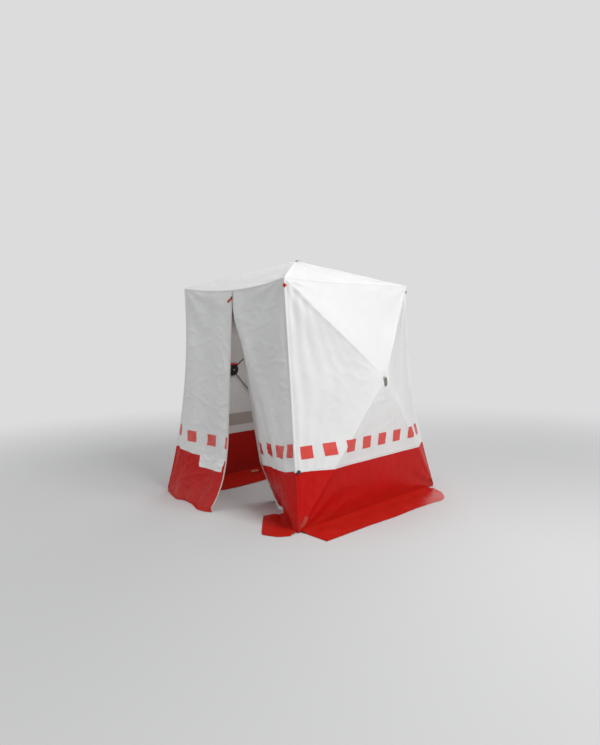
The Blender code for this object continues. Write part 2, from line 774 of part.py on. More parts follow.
def hub_grip(face, empty):
    """Red grip on the hub's upper rim, for drawing the hub in."""
    seat = math.sqrt(HUB_RADIUS**2 - (GRIP_WIDTH / 2) ** 2)
    bm = bmesh.new()
    height = HUB_RADIUS + GRIP_HEIGHT - seat + 0.004
    centre = (0, seat - 0.004 + height / 2, -GRIP_DROP)
    box(bm, (GRIP_WIDTH, height, GRIP_DEPTH), centre)
    grip = add_object(f"{face.name}_hub_grip", bm, empty, Matrix(), RED_PLASTIC, PARTS)
    round_cut = bmesh.new()
    rod_shape(round_cut, HUB_RADIUS + GAP, GRIP_DEPTH * 3, Vector((0, 0, 1)), (0, 0, 0), 48)
    boolean(grip, guide(f"{face.name}_grip_seat", round_cut, empty, Matrix()), "DIFFERENCE")
    hollow = bmesh.new()
    for sign, upper in face.signs:
        arm = rod_line(face, sign, upper)[2]
        angle = math.atan2(arm.dot(face.up), arm.dot(face.across))
        if angle > 0:
            turn = Matrix.Rotation(angle, 4, "Z")
            centre = turn @ Vector((HUB_RADIUS + 0.02, 0, 0))
            box(hollow, (0.06, EYE_WIDTH + 4 * GAP, GRIP_DEPTH * 2), centre, turn)
    boolean(grip, guide(f"{face.name}_grip_relief", hollow, empty, Matrix()), "DIFFERENCE")


def rod(face, name, sign, upper):
    """Glass-fibre rod with a hinge eye on the hub and a capped tip in the corner fitting."""
    pin, tip, outward, tilt = rod_line(face, sign, upper)
    along = (tip - pin).normalized()
    hinge = face.normal.cross(outward)
    basis = Matrix((hinge.cross(along), hinge, along)).transposed().to_4x4()
    place = Matrix.Translation(pin) @ basis
    length = (tip - pin).length
    profile = (
        (0, length),
        (TIP_RADIUS * 0.6, length - 0.0008),
        (TIP_RADIUS, length - 0.0050),
        (TIP_RADIUS, length - TIP_LENGTH),
        (ROD_RADIUS, length - TIP_LENGTH - 0.002),
        (ROD_RADIUS, FERRULE_LENGTH),
        (FERRULE_RADIUS, FERRULE_LENGTH - 0.002),
        (FERRULE_RADIUS, 0.0045),
        (0, 0.0045),
    )
    made = turned(f"{face.name}_rod_{name}", profile, 8, TENT, place, ROD_GREY)
    eye = bmesh.new()
    rod_shape(eye, EYE_RADIUS, EYE_WIDTH, Vector((0, 1, 0)), (0, 0, 0), 12)
    bore = bmesh.new()
    radius = WIRE / 2 + GAP
    rod_shape(bore, radius, EYE_WIDTH * 1.5, Vector((0, 1, 0)), (0, 0, 0), 10)
    boolean(made, guide(f"{made.name}_eye", eye, TENT, place), "UNION")
    boolean(made, guide(f"{made.name}_bore", bore, TENT, place), "DIFFERENCE")


def corner_name(sign):
    return f"{'front' if sign[1] < 0 else 'back'}_{'left' if sign[0] < 0 else 'right'}"


def rod_name(face, sign, upper):
    if face is ROOF:
        return corner_name(sign)
    end = "top" if upper else "foot"
    if face is BACK:
        return f"{end}_{'left' if sign[0] < 0 else 'right'}"
    return f"{end}_{'front' if sign[1] < 0 else 'back'}"


def hubs():
    for face in FACES:
        empty = bpy.data.objects.new(f"{face.name}_hub_place", None)
        PARTS.objects.link(empty)
        empty.parent = TENT
        empty.matrix_local = face.frame
        hub_body(face, empty)
        hub_washer(face, empty)
        hub_strap(face, empty)
        hub_grip(face, empty)
        for sign, upper in face.signs:
            rod(face, rod_name(face, sign, upper), sign, upper)


# Corner fittings


def socket_axis(face, sign, upper):
    """Turn that takes Z along a socket, Y across the rod's hinge and X with the rod's tilt."""
    outward = rod_line(face, sign, upper)[2]
    along = -outward
    across = face.normal.cross(along)
    return Matrix((across.cross(along), across, along)).transposed()


def corner_fitting(sign, upper):
    """Moulded fitting with one open socket for each rod that ends in it, and a foot on the ground."""
    level = "corner" if upper else "foot"
    name = f"{level}_{corner_name(sign)}"
    middle = corner_middle(sign, upper)
    place = Matrix.Translation(middle)
    served = [f for f in FACES if (sign, upper) in f.signs]
    ball = bmesh.new()
    bmesh.ops.create_uvsphere(ball, u_segments=10, v_segments=6, radius=BALL_RADIUS)
    fitting = add_object(name, ball, TENT, place, FITTING_BLACK, PARTS)
    if not upper:
        base = bmesh.new()
        radius = FRONT_FOOT_RADIUS if sign[1] < 0 else BACK_FOOT_RADIUS
        centre = (0, 0, FOOT_THICKNESS / 2 - FOOT_LIFT)
        rod_shape(base, radius, FOOT_THICKNESS, Vector((0, 0, 1)), centre, 20)
        boolean(fitting, guide(f"{name}_base", base, TENT, place), "UNION")
        post = bmesh.new()
        height = FOOT_LIFT - FOOT_THICKNESS / 2
        rod_shape(post, 0.012, height, Vector((0, 0, 1)), (0, 0, -height / 2), 12)
        boolean(fitting, guide(f"{name}_post", post, TENT, place), "UNION")
    else:
        reach = top(*sign) - middle
        if sign[1] < 0:
            reach.y += FRONT_ARM_TURN
        length = reach.length - (FRONT_ARM_GAP if sign[1] < 0 else BACK_ARM_GAP)
        arm = bmesh.new()
        rod_shape(arm, ARM_RADIUS, length, reach, reach.normalized() * (length / 2), 10)
        boolean(fitting, guide(f"{name}_arm", arm, TENT, place), "UNION")
    half = TIP_RADIUS + SOCKET_CLEARANCE
    tall = half + SOCKET_SWING
    for face in served:
        turn = socket_axis(face, sign, upper)
        along = turn.col[2]
        shell = bmesh.new()
        size = (2 * (tall + SOCKET_WALL), 2 * (half + SOCKET_WALL), SOCKET_MOUTH)
        box(shell, size, along * (SOCKET_MOUTH / 2), turn)
        boolean(fitting, guide(f"{name}_{face.name}_shell", shell, TENT, place), "UNION")
    for face in served:
        turn = socket_axis(face, sign, upper)
        along = turn.col[2]
        cavity = bmesh.new()
        depth = SOCKET_MOUTH - SOCKET_START + 0.010
        box(cavity, (2 * tall, 2 * half, depth), along * (SOCKET_START + depth / 2), turn)
        boolean(fitting, guide(f"{name}_{face.name}_cavity", cavity, TENT, place), "DIFFERENCE")


def corners():
    for sx in (-1, 1):
        for sy in (-1, 1):
            corner_fitting((sx, sy), True)
            corner_fitting((sx, sy), False)


# Zip


def zip_place():
    """Place of the slider: on the left panel's free edge, with Z up along it and Y into the tent."""
    left = DOORS[0]
    high, low = left.closed_edge(1), left.closed_edge(0.4)
    up = (high - low).normalized()
    right = Vector((1, 0, 0))
    inward = up.cross(right)
    start = high - up * (SLIDER_DROP + SLIDER_HEIGHT / 2)
    start.x = -DOOR_EDGE - SLIDER_WIDTH / 2 + 0.001
    start -= inward * (SLIDER_STANDOFF + SLIDER_THICKNESS / 2)
    return Matrix.Translation(start) @ Matrix((right, inward, up)).transposed().to_4x4()


def zip_slider():
    place = zip_place()
    bm = bmesh.new()
    box(bm, (SLIDER_WIDTH, SLIDER_THICKNESS, SLIDER_HEIGHT), (0, 0, 0))
    slider = add_object("zip_slider", bm, TENT, place, HUB_BLACK, PARTS)
    bevel = slider.modifiers.new("edges", "BEVEL")
    bevel.width = 0.0012
    bevel.segments = 1
    lugs = bmesh.new()
    front = -SLIDER_THICKNESS / 2
    for side in (-1, 1):
        box(lugs, (0.002, 0.006, 0.006), (side * 0.005, front - 0.0025, 0.004))
    boolean(slider, guide("zip_slider_lugs", lugs, TENT, place), "UNION")
    bar = bmesh.new()
    rod_shape(bar, 0.0012, 0.011, Vector((1, 0, 0)), (0, front - 0.0035, 0.004), 10)
    boolean(slider, guide("zip_slider_bar", bar, TENT, place), "UNION")
    hinge = place @ Matrix.Translation((0, front - 0.0035, 0.004))
    eye = bmesh.new()
    rod_shape(eye, 0.0028, 0.0074, Vector((1, 0, 0)), (0, 0, 0), 12)
    puller = add_object("zip_puller", eye, TENT, hinge, RED_PLASTIC, PARTS)
    tag = bmesh.new()
    box(tag, (0.0070, 0.0016, PULLER_NECK), (0, -0.0012, -PULLER_NECK / 2))
    boolean(puller, guide("zip_puller_neck", tag, TENT, hinge), "UNION")
    blade = bmesh.new()
    slant = Matrix.Rotation(PULLER_SLANT, 4, "Y")
    length = PULLER_LENGTH - PULLER_NECK
    centre = Vector((0, -0.0012, 0.004 - PULLER_NECK)) + slant @ Vector((0, 0, -length / 2))
    box(blade, (PULLER_WIDTH, PULLER_THICKNESS, length), centre, slant)
    boolean(puller, guide("zip_puller_blade", blade, TENT, hinge), "UNION")
    bore = bmesh.new()
    rod_shape(bore, 0.0012 + GAP, 0.030, Vector((1, 0, 0)), (0, 0, 0), 12)
    boolean(puller, guide("zip_puller_bore", bore, TENT, hinge), "DIFFERENCE")


wipe()
PARTS = collection("welding_tent")
CUTTERS = collection("cutters")
TENT = bpy.data.objects.new("tent_axis", None)
PARTS.objects.link(TENT)
TENT.location = (AXIS_X, 0, 0)

WHITE_CLOTH = material("white_cloth", WHITE, 0.55)
RED_CLOTH = material("red_cloth", RED, 0.42)
TAPE_CLOTH = material("zip_tape", (0.75, 0.68, 0.58), 0.7)
LABEL_CLOTH = material("label", (0.85, 0.85, 0.85), 0.5)
WEBBING = material("webbing", (0.30, 0.27, 0.25), 0.8)
HUB_BLACK = material("hub_black", BLACK, 0.45)
FITTING_BLACK = material("fitting_black", BLACK, 0.5)
WASHER_GREY = material("washer_grey", (0.6, 0.6, 0.6), 0.5)
RED_PLASTIC = material("red_plastic", (0.6, 0.03, 0.02), 0.4)
ROD_GREY = material("glass_fibre", (0.06, 0.06, 0.06), 0.4)
STEEL = material("steel_wire", (0.55, 0.55, 0.55), 0.3, 1.0)

RIGHT = wall_face("right", (1, -1), (1, 1), 1, RIGHT_FLAP)
LEFT = wall_face("left", (-1, 1), (-1, -1), -1, LEFT_FLAP)
BACK = wall_face("back", (1, 1), (-1, 1), -1, BACK_FLAP)
ROOF = roof_face()
WALLS = (RIGHT, LEFT, BACK)
FACES = (ROOF, *WALLS)
SIDES = {1: RIGHT, -1: LEFT}
FRONT_NORMAL = Vector((BACK.normal.x, -BACK.normal.y, BACK.normal.z))
DOORS = (Door("left", -1), Door("right", 1))
LEFT.door, RIGHT.door = DOORS

cover()
doors()
hubs()
corners()
zip_slider()
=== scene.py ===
import json
import math

import bmesh
import bpy
from bpy.props import FloatProperty, FloatVectorProperty, IntProperty, PointerProperty
from bpy.types import Operator, Panel, PropertyGroup
from mathutils import Matrix, Vector, noise

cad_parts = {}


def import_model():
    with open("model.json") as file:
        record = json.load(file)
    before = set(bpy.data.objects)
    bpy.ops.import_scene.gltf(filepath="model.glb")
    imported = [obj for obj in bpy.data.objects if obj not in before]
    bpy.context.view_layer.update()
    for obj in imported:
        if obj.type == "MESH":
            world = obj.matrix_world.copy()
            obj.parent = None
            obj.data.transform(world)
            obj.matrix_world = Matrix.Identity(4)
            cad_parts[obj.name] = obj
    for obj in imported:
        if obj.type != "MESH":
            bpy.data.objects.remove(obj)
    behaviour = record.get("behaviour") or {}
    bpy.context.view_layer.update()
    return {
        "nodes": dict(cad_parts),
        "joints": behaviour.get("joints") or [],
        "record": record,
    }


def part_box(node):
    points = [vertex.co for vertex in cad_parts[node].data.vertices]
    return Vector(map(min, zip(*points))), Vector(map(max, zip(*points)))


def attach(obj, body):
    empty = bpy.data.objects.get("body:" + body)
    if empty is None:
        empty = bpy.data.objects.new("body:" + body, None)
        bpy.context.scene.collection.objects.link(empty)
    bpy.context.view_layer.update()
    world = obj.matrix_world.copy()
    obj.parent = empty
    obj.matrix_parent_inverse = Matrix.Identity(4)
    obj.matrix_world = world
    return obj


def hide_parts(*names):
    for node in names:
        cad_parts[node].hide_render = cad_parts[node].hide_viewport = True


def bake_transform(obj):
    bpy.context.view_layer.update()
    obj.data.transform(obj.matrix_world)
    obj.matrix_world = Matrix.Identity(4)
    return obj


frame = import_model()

bl_info = {
    "name": "Pop-up welding tent",
    "version": (1, 0, 0),
    "blender": (4, 5, 0),
    "location": "View3D > Sidebar > Tent",
    "description": "Sewn cloth cover, zipped door, hubs and trims of a pop-up welding tent",
    "category": "Object",
}

# The cover's own lines, in metres about its centre line, as in the part's source
AXIS_X = -0.0735
FOOT_HALF = 0.900
EAVE_HALF_X = 0.672
EAVE_HALF_Y = 0.788
EAVE_HEIGHT = 1.905
ROOF_RISE = 0.231
WALL_POP = 0.245
HUB_HEIGHT = 1.072
BAND_HEIGHT = 0.430
HEM_HEIGHT = 0.004
EDGE_PULL = 0.055
EAVE_DROOP = 0.012
DOOR_EAVE_DROOP = 0.052
DOOR_EAVE_BOW = 0.032
DOOR_EDGE = 0.002
DOOR_SLOPE = 0.068
DOOR_HEM = 0.008
LEFT_TURN = math.radians(9)
LEFT_TURN_HEIGHT = 0.620
RIGHT_TURN = math.radians(27)
RIGHT_FOOT_TURN = math.radians(6)
RIGHT_FOOT_HEIGHT = 0.350
FOLD_SOFT = 0.20  # the cloth takes this far to bend from the fold line to the panel's own angle
FOLD_REACH = 0.08  # how far past the fold the door's blend line reaches; no piece is swung with the door by it
HUB_FLAT = 0.062
STUD_HOLE = 0.0056

CLOTH = 0.0009
SEWN = 0.0011  # thickness of reflective squares and bindings
LIFT = 0.0022  # outer side of a reflective square over the cloth
DOOR_FRONT = Vector((0, -1, 0))
SIDE_COLUMNS = 84  # cloth facets along one edge of a wall or roof
CONE_SHARES = [i / 72 for i in range(73)]
# The cloth of a roof or wall is parted in rings by its height, as a share of its hub's. Each ring's
# last two numbers are the heights at which it starts and ends to go with the hub, though nothing
# here moves a ring with the hub.
RINGS = (("rim", -9.0, 0.35, 0.0, 0.921), ("middle", 0.35, 0.92, -0.22, 1.28),
         ("hub", 0.92, 9.0, 0.6667, 1.0))


def smoothstep(low, high, x):
    t = min(1.0, max(0.0, (x - low) / (high - low)))
    return t * t * (3 - 2 * t)


def noise_at(x, y, z):
    return noise.noise(Vector((x, y, z)))


def world(point):
    """A point of the cover, in the frame of the CAD."""
    return Vector((point[0] + AXIS_X, point[1], point[2]))


# Lines of the cover


def foot(sx, sy):
    return Vector((sx * FOOT_HALF, sy * FOOT_HALF, 0))


def top(sx, sy):
    return Vector((sx * EAVE_HALF_X, sy * EAVE_HALF_Y, EAVE_HEIGHT))


def seam(sx, sy, t):
    """Corner seam from hem, t = 0, to eaves, t = 1."""
    base = foot(sx, sy) + Vector((0, 0, HEM_HEIGHT))
    inward = Vector((sx, sy, 0)) * (EDGE_PULL * 4 * t * (1 - t))
    return base.lerp(top(sx, sy), t) - inward


def eave(start, end, t, droop=EAVE_DROOP, bow=0.0):
    middle = (start + end) / 2
    inward = Vector((-middle.x, -middle.y, 0)).normalized()
    return start.lerp(end, t) + (inward * bow - Vector((0, 0, droop))) * (4 * t * (1 - t))


def door_eave(t):
    return eave(top(-1, -1), top(1, -1), t, DOOR_EAVE_DROOP, DOOR_EAVE_BOW)


class Face:
    """A roof or wall held out by a hub. Its cloth stands over the plane of its four corners."""

    def __init__(self, name, signs, edges, pop, height=None, seed=0.0):
        self.name, self.edges, self.seed = name, edges, seed
        self.corners = [top(*s) if upper else foot(*s) for s, upper in signs]
        first, second, third, fourth = self.corners
        self.across = (second - first).normalized()
        self.normal = (second - first).cross(fourth - first).normalized()
        self.up = self.normal.cross(self.across)
        low, high = (first + second) / 2, (third + fourth) / 2
        share = 0.5 if height is None else height / EAVE_HEIGHT
        self.centre = low.lerp(high, share)
        self.peak = self.centre + self.normal * pop
        self.pop = pop
        self.flat_corners = [self.flat(c) for c in self.corners]
        rim = [edge(i / SIDE_COLUMNS) for edge in edges for i in range(SIDE_COLUMNS)]
        self.rim = [(*self.flat(p), (p - self.centre).dot(self.normal)) for p in rim]
        angles = [math.atan2(b, a) for a, b, _ in self.rim]
        self.first_angle = angles[0]
        self.turns = [(x - self.first_angle) % math.tau for x in angles]

    def flat(self, point):
        arm = point - self.centre
        return arm.dot(self.across), arm.dot(self.up)

    def rim_at(self, a, b):
        """Rim point in the direction of a, b."""
        turn = (math.atan2(b, a) - self.first_angle) % math.tau
        low, high = 0, len(self.turns)
        while high - low > 1:
            middle = (low + high) // 2
            if self.turns[middle] <= turn:
                low = middle
            else:
                high = middle
        following = (low + 1) % len(self.turns)
        span = (self.turns[following] - self.turns[low]) % math.tau
        share = (turn - self.turns[low]) / span if span > 1e-9 else 0.0
        p, q = self.rim[low], self.rim[following]
        return tuple(x + (y - x) * share for x, y in zip(p, q))

    def height(self, a, b):
        """Height of tight cloth over the corners' plane, without its wrinkles."""
        if self.name != "roof" and a > 0 > b:
            # The rod to the lower far corner bows, and the cloth breaks further out over it
            far = math.hypot(*self.flat_corners[1])
            turn = math.atan2(b, a) - math.atan2(self.flat_corners[1][1], self.flat_corners[1][0])
            share = min(1.0, math.hypot(a, b) / far)
            a -= 0.050 * math.exp(-((turn / 0.30) ** 2)) * math.sin(math.pi * share) ** 2
        radius = math.hypot(a, b)
        if radius <= HUB_FLAT:
            return self.pop
        rim_a, rim_b, rim_h = self.rim_at(a, b)
        reach = math.hypot(rim_a, rim_b)
        share = min(1.0, (radius - HUB_FLAT) / (reach - HUB_FLAT))
        return self.pop + (rim_h - self.pop) * share

    def wrinkle(self, a, b):
        """How far the cloth stands out of that shape: ridges over the rods, folds that run out
        from the corners and along the seams, and a shallow crumple all over."""
        radius = math.hypot(a, b)
        rim_a, rim_b, _ = self.rim_at(a, b)
        reach = math.hypot(rim_a, rim_b)
        share = min(1.0, max(0.0, (radius - HUB_FLAT) / (reach - HUB_FLAT)))
        free = smoothstep(0.0, 0.055, reach - radius) * smoothstep(0.0, 0.10, radius - HUB_FLAT)
        out = 0.0
        nearest = 9.0
        for number, (ca, cb) in enumerate(self.flat_corners):
            far = math.hypot(ca, cb)
            along = (a * ca + b * cb) / far
            beside = (a * cb - b * ca) / far
            if along > 0:
                nearest = min(nearest, abs(beside))
                ridge = math.exp(-((beside / 0.011) ** 2)) * smoothstep(0.10, 0.45, along / far)
                out += 0.0038 * ridge
            gap = math.hypot(a - ca, b - cb)
            angle = math.atan2(b - cb, a - ca)
            spread = (gap / 0.20) * math.exp(1 - gap / 0.20)
            sway = 1.6 * noise_at(gap * 3.1, number * 5.3 + self.seed, angle)
            out += 0.0042 * spread * math.sin(15 * angle + number * 1.9 + self.seed + sway)
        out -= 0.007 * smoothstep(0.0, 0.16, nearest) * 4 * share * (1 - share)
        beside_seam = reach - radius
        sway = noise_at(a * 1.3, b * 1.7, self.seed)
        if abs(rim_a) > abs(rim_b) * 0.8 and self.name != "roof":
            fold = math.sin(beside_seam * 55 + 3.2 * sway + self.seed)
            depth = 0.0085 if a < 0 else 0.0035
            out += depth * fold * math.exp(-beside_seam / 0.17) * smoothstep(-1.0, -0.55, b)
        out += 0.0030 * noise_at(a * 4.5, b * 3.2, 7 + self.seed)
        crease = abs(noise_at(a * 8.0 + b * 2.0, b * 7.0 - a * 3.0, 3 + self.seed))
        out += 0.0022 * (0.28 - min(0.28, crease)) / 0.28
        out += 0.0007 * noise_at(a * 24, b * 24, self.seed)
        return out * free

    def point(self, a, b, lift=0.0):
        """Point on the outside of the cloth, as far over it as lift says."""
        height = self.height(a, b) + self.wrinkle(a, b) + lift
        return self.centre + self.across * a + self.up * b + self.normal * height


def wall_edges(a, b):
    """Hem, seam, eaves and seam of a wall between two corners."""
    low, high = Vector((0, 0, HEM_HEIGHT)), (top(*a), top(*b))
    return (
        lambda t: (foot(*a) + low).lerp(foot(*b) + low, t),
        lambda t: seam(*b, t),
        lambda t: eave(high[1], high[0], t),
        lambda t: seam(*a, 1 - t),
    )


def wall_face(name, a, b, seed):
    signs = ((a, False), (b, False), (b, True), (a, True))
    return Face(name, signs, wall_edges(a, b), WALL_POP, HUB_HEIGHT, seed)


def roof_face():
    near, far, far_left, near_left = (1, -1), (1, 1), (-1, 1), (-1, -1)
    edges = (
        lambda t: eave(top(*near), top(*far), t),
        lambda t: eave(top(*far), top(*far_left), t),
        lambda t: eave(top(*far_left), top(*near_left), t),
        door_eave,
    )
    signs = tuple((s, True) for s in (near, far, far_left, near_left))
    return Face("roof", signs, edges, ROOF_RISE, None, 4.0)


class Door:
    """A panel of the door wall, from its corner seam to the zip. side is -1 left, 1 right."""

    def __init__(self, name, side):
        self.name, self.side = name, side
        self.pivot = foot(side, -1) + Vector((0, 0, HEM_HEIGHT))
        self.crown = self.closed_edge(1)
        self.axis = (self.crown - self.pivot).normalized()
        self.beyond = self.axis.cross(DOOR_FRONT).normalized()
        if self.beyond.x * side > 0:
            self.beyond.negate()

    def closed_edge(self, v):
        high = door_eave(0.5)
        drop = (high.z - DOOR_HEM) * (1 - v)
        return high + Vector((self.side * DOOR_EDGE, -DOOR_SLOPE * drop, -drop))

    def shut(self, x, v):
        """Point of the shut panel. x is the distance from the doorway's middle, v from 0 at the hem
        to 1 at the eave."""
        near, fold = seam(self.side, -1, v), self.pivot.lerp(self.crown, v)
        if x > abs(fold.x):
            u = (abs(near.x) - x) / max(1e-6, abs(near.x) - abs(fold.x))
            line = near.lerp(fold, u)
            half = 0.5 + self.side * 0.5 * (1 - u * (1 - DOOR_EDGE / EAVE_HALF_X))
            straight = top(self.side, -1).lerp(self.crown, u)
            return line + (door_eave(half) - straight) * v
        edge = self.closed_edge(v)
        return fold.lerp(edge, (abs(fold.x) - x) / max(1e-6, abs(fold.x) - abs(edge.x)))

    def boundary(self, x):
        """Height of the joint of white and red, which sags towards the zip."""
        if self.side < 0:
            return BAND_HEIGHT - 0.032 * (1 - smoothstep(0.35, 0.86, x))
        return BAND_HEIGHT - 0.095 * max(0.0, 1 - x / 0.80)

    def wrinkle(self, x, z, from_seam, from_eave):
        """Folds that hang from the upper corner, soft upright folds, and a crumple all over."""
        seed = 11.0 if self.side < 0 else 17.0
        dx, dz = EAVE_HALF_X - x, EAVE_HEIGHT - z
        gap = math.hypot(dx, dz)
        angle = math.atan2(dz, dx)
        spread = (gap / 0.26) * math.exp(1 - gap / 0.26)
        sway = 1.5 * noise_at(gap * 2.2, angle, seed)
        out = 0.0065 * spread * math.sin(11 * angle + seed + sway)
        sway = noise_at(x * 1.4, z * 0.8, seed + 2)
        low = 1 - smoothstep(0.0, 1.5, z)
        out += (0.0035 + 0.0055 * low) * math.sin(x * 15 + seed + 4.5 * sway)
        out += 0.0055 * noise_at(x * 3.4, z * 2.6, seed + 5)
        for size, depth in ((6.0, 0.0046), (13.0, 0.0026)):
            crease = abs(noise_at(x * size + z * 2.0, z * size * 1.5 - x * 2.5, seed + size))
            out += depth * (0.24 - min(0.24, crease)) / 0.24
        out += 0.0012 * noise_at(x * 24, z * 27, seed)
        gather = 0.010 * (1 - smoothstep(0.0, 0.16, z)) * math.sin(x * 34 + 6 * sway + seed)
        out += gather * smoothstep(0.03, 0.16, x)
        free = smoothstep(0.0, 0.06, from_seam) * smoothstep(0.0, 0.05, from_eave)
        return out * free * smoothstep(0.0, 0.05, x + 0.012)

    def turn(self, point):
        """Bend a point of the shut panel about the fold, as the panel hangs in the photo."""
        arm = point - self.pivot
        off = arm.dot(self.beyond)
        if off <= 0:
            return point
        ramp = smoothstep(0.0, FOLD_SOFT, off)
        if self.side < 0:
            angle = -LEFT_TURN * max(0.0, 1 - point.z / LEFT_TURN_HEIGHT) ** 2
        else:
            angle = -RIGHT_TURN - RIGHT_FOOT_TURN * max(0.0, 1 - point.z / RIGHT_FOOT_HEIGHT)
        return self.pivot + Matrix.Rotation(angle * ramp, 3, self.axis) @ arm

    def point(self, x, v, lift=0.0):
        point = self.shut(x, v)
        from_seam = abs(seam(self.side, -1, v).x) - x
        half = 0.5 + self.side * 0.5 * min(1.0, x / EAVE_HALF_X)
        from_eave = door_eave(half).z - point.z
        point.y -= self.wrinkle(x, point.z, from_seam, from_eave) + lift
        if self.side > 0:
            # The cloth starts to turn in at the corner seam already, not only at the fold
            fold = abs(self.pivot.lerp(self.crown, v).x)
            level = smoothstep(0.12, 0.45, point.z) * (1 - smoothstep(1.0, 1.7, point.z))
            near = smoothstep(0.0, 0.22, from_seam) * smoothstep(-0.05, 0.5, x)
            point.y += 0.050 * level * near * math.exp(-(((x - fold) / 0.22) ** 2))
        else:
            # and the left panel's foot stands out from the corner on
            out = max(0.0, 1 - point.z / 0.30) ** 2
            point.y -= 0.034 * out * smoothstep(0.0, 0.12, from_seam)
        return self.turn(point)

    def share_at(self, z):
        return (z - HEM_HEIGHT) / (self.crown.z - HEM_HEIGHT)

    def point_at_height(self, x, z, lift):
        return self.point(x, self.share_at(z), lift)

    def blend_line(self):
        return world(self.pivot), world(self.pivot + self.beyond * FOLD_REACH)


RIGHT = wall_face("right", (1, -1), (1, 1), 0.0)
LEFT = wall_face("left", (-1, 1), (-1, -1), 1.3)
BACK = wall_face("back", (1, 1), (-1, 1), 2.6)
ROOF = roof_face()
WALLS = (RIGHT, LEFT, BACK)
FACES = (ROOF, *WALLS)
DOORS = (Door("left", -1), Door("right", 1))


# Settings


class TentColours(PropertyGroup):
    white: FloatVectorProperty(
        name="White cloth", description="Upper cloth", subtype="COLOR_GAMMA",
        default=(0.929, 0.929, 0.925), min=0, max=1,
    )
    red: FloatVectorProperty(
        name="Red cloth", description="Band and mud flaps", subtype="COLOR_GAMMA",
        default=(0.775, 0.050, 0.024), min=0, max=1,
    )
    reflector: FloatVectorProperty(
        name="Reflective squares", description="Patches in the white cloth",
        subtype="COLOR_GAMMA", default=(0.878, 0.243, 0.196), min=0, max=1,
    )


class TentSizes(PropertyGroup):
    square: FloatProperty(
        name="Reflective square", description="Side of one square", default=0.098,
        min=0.05, max=0.15, unit="LENGTH",
    )
    square_height: FloatProperty(
        name="Height of squares", description="Middle of the squares over the ground",
        default=0.585, min=0.5, max=0.8, unit="LENGTH",
    )
    binding: FloatProperty(
        name="Binding", description="Half the width of the tape over a corner seam",
        default=0.0130, min=0.006, max=0.03, unit="LENGTH",
    )
    strap_length: FloatProperty(
        name="Pull strap", description="Length of the strap on a hub's washer",
        default=0.074, min=0.06, max=0.12, unit="LENGTH",
    )
    teeth: IntProperty(
        name="Zip teeth", description="Teeth on one side of the zip", default=420, min=100, max=600,
    )


# Materials


def linear(colour, share=1.0):
    """sRGB hex text, or three gamma values, to a linear colour with alpha, darkened to a share."""
    if isinstance(colour, str):
        colour = [int(colour[i:i + 2], 16) / 255 for i in (1, 3, 5)]
    made = [c / 12.92 if c <= 0.04045 else ((c + 0.055) / 1.055) ** 2.4 for c in colour]
    return (*[c * share for c in made], 1)


def add_node(tree, kind, settings=None, links=None):
    """Add a shader node with its settings (own values, or input values by name) and its links."""
    made = tree.nodes.new(f"ShaderNode{kind}")
    for key, value in (settings or {}).items():
        if isinstance(key, str) and hasattr(made, key):
            setattr(made, key, value)
        else:
            made.inputs[key].default_value = value
    link_up(tree, made, links or {})
    return made


def link_up(tree, node, links):
    """Link a node's inputs to sockets, or to nodes, which stand for their first output in use."""
    for key, source in links.items():
        if isinstance(source, bpy.types.Node):
            source = next(socket for socket in source.outputs if socket.enabled)
        tree.links.new(source, node.inputs[key])


def new_material(name, **constants):
    """Material with a Principled shader, and its tree."""
    made = bpy.data.materials.new(name)
    made.use_nodes = True
    shader = made.node_tree.nodes["Principled BSDF"]
    for key, value in constants.items():
        shader.inputs[key.replace("_", " ").title().replace("Ior", "IOR")].default_value = value
    return made, made.node_tree, shader


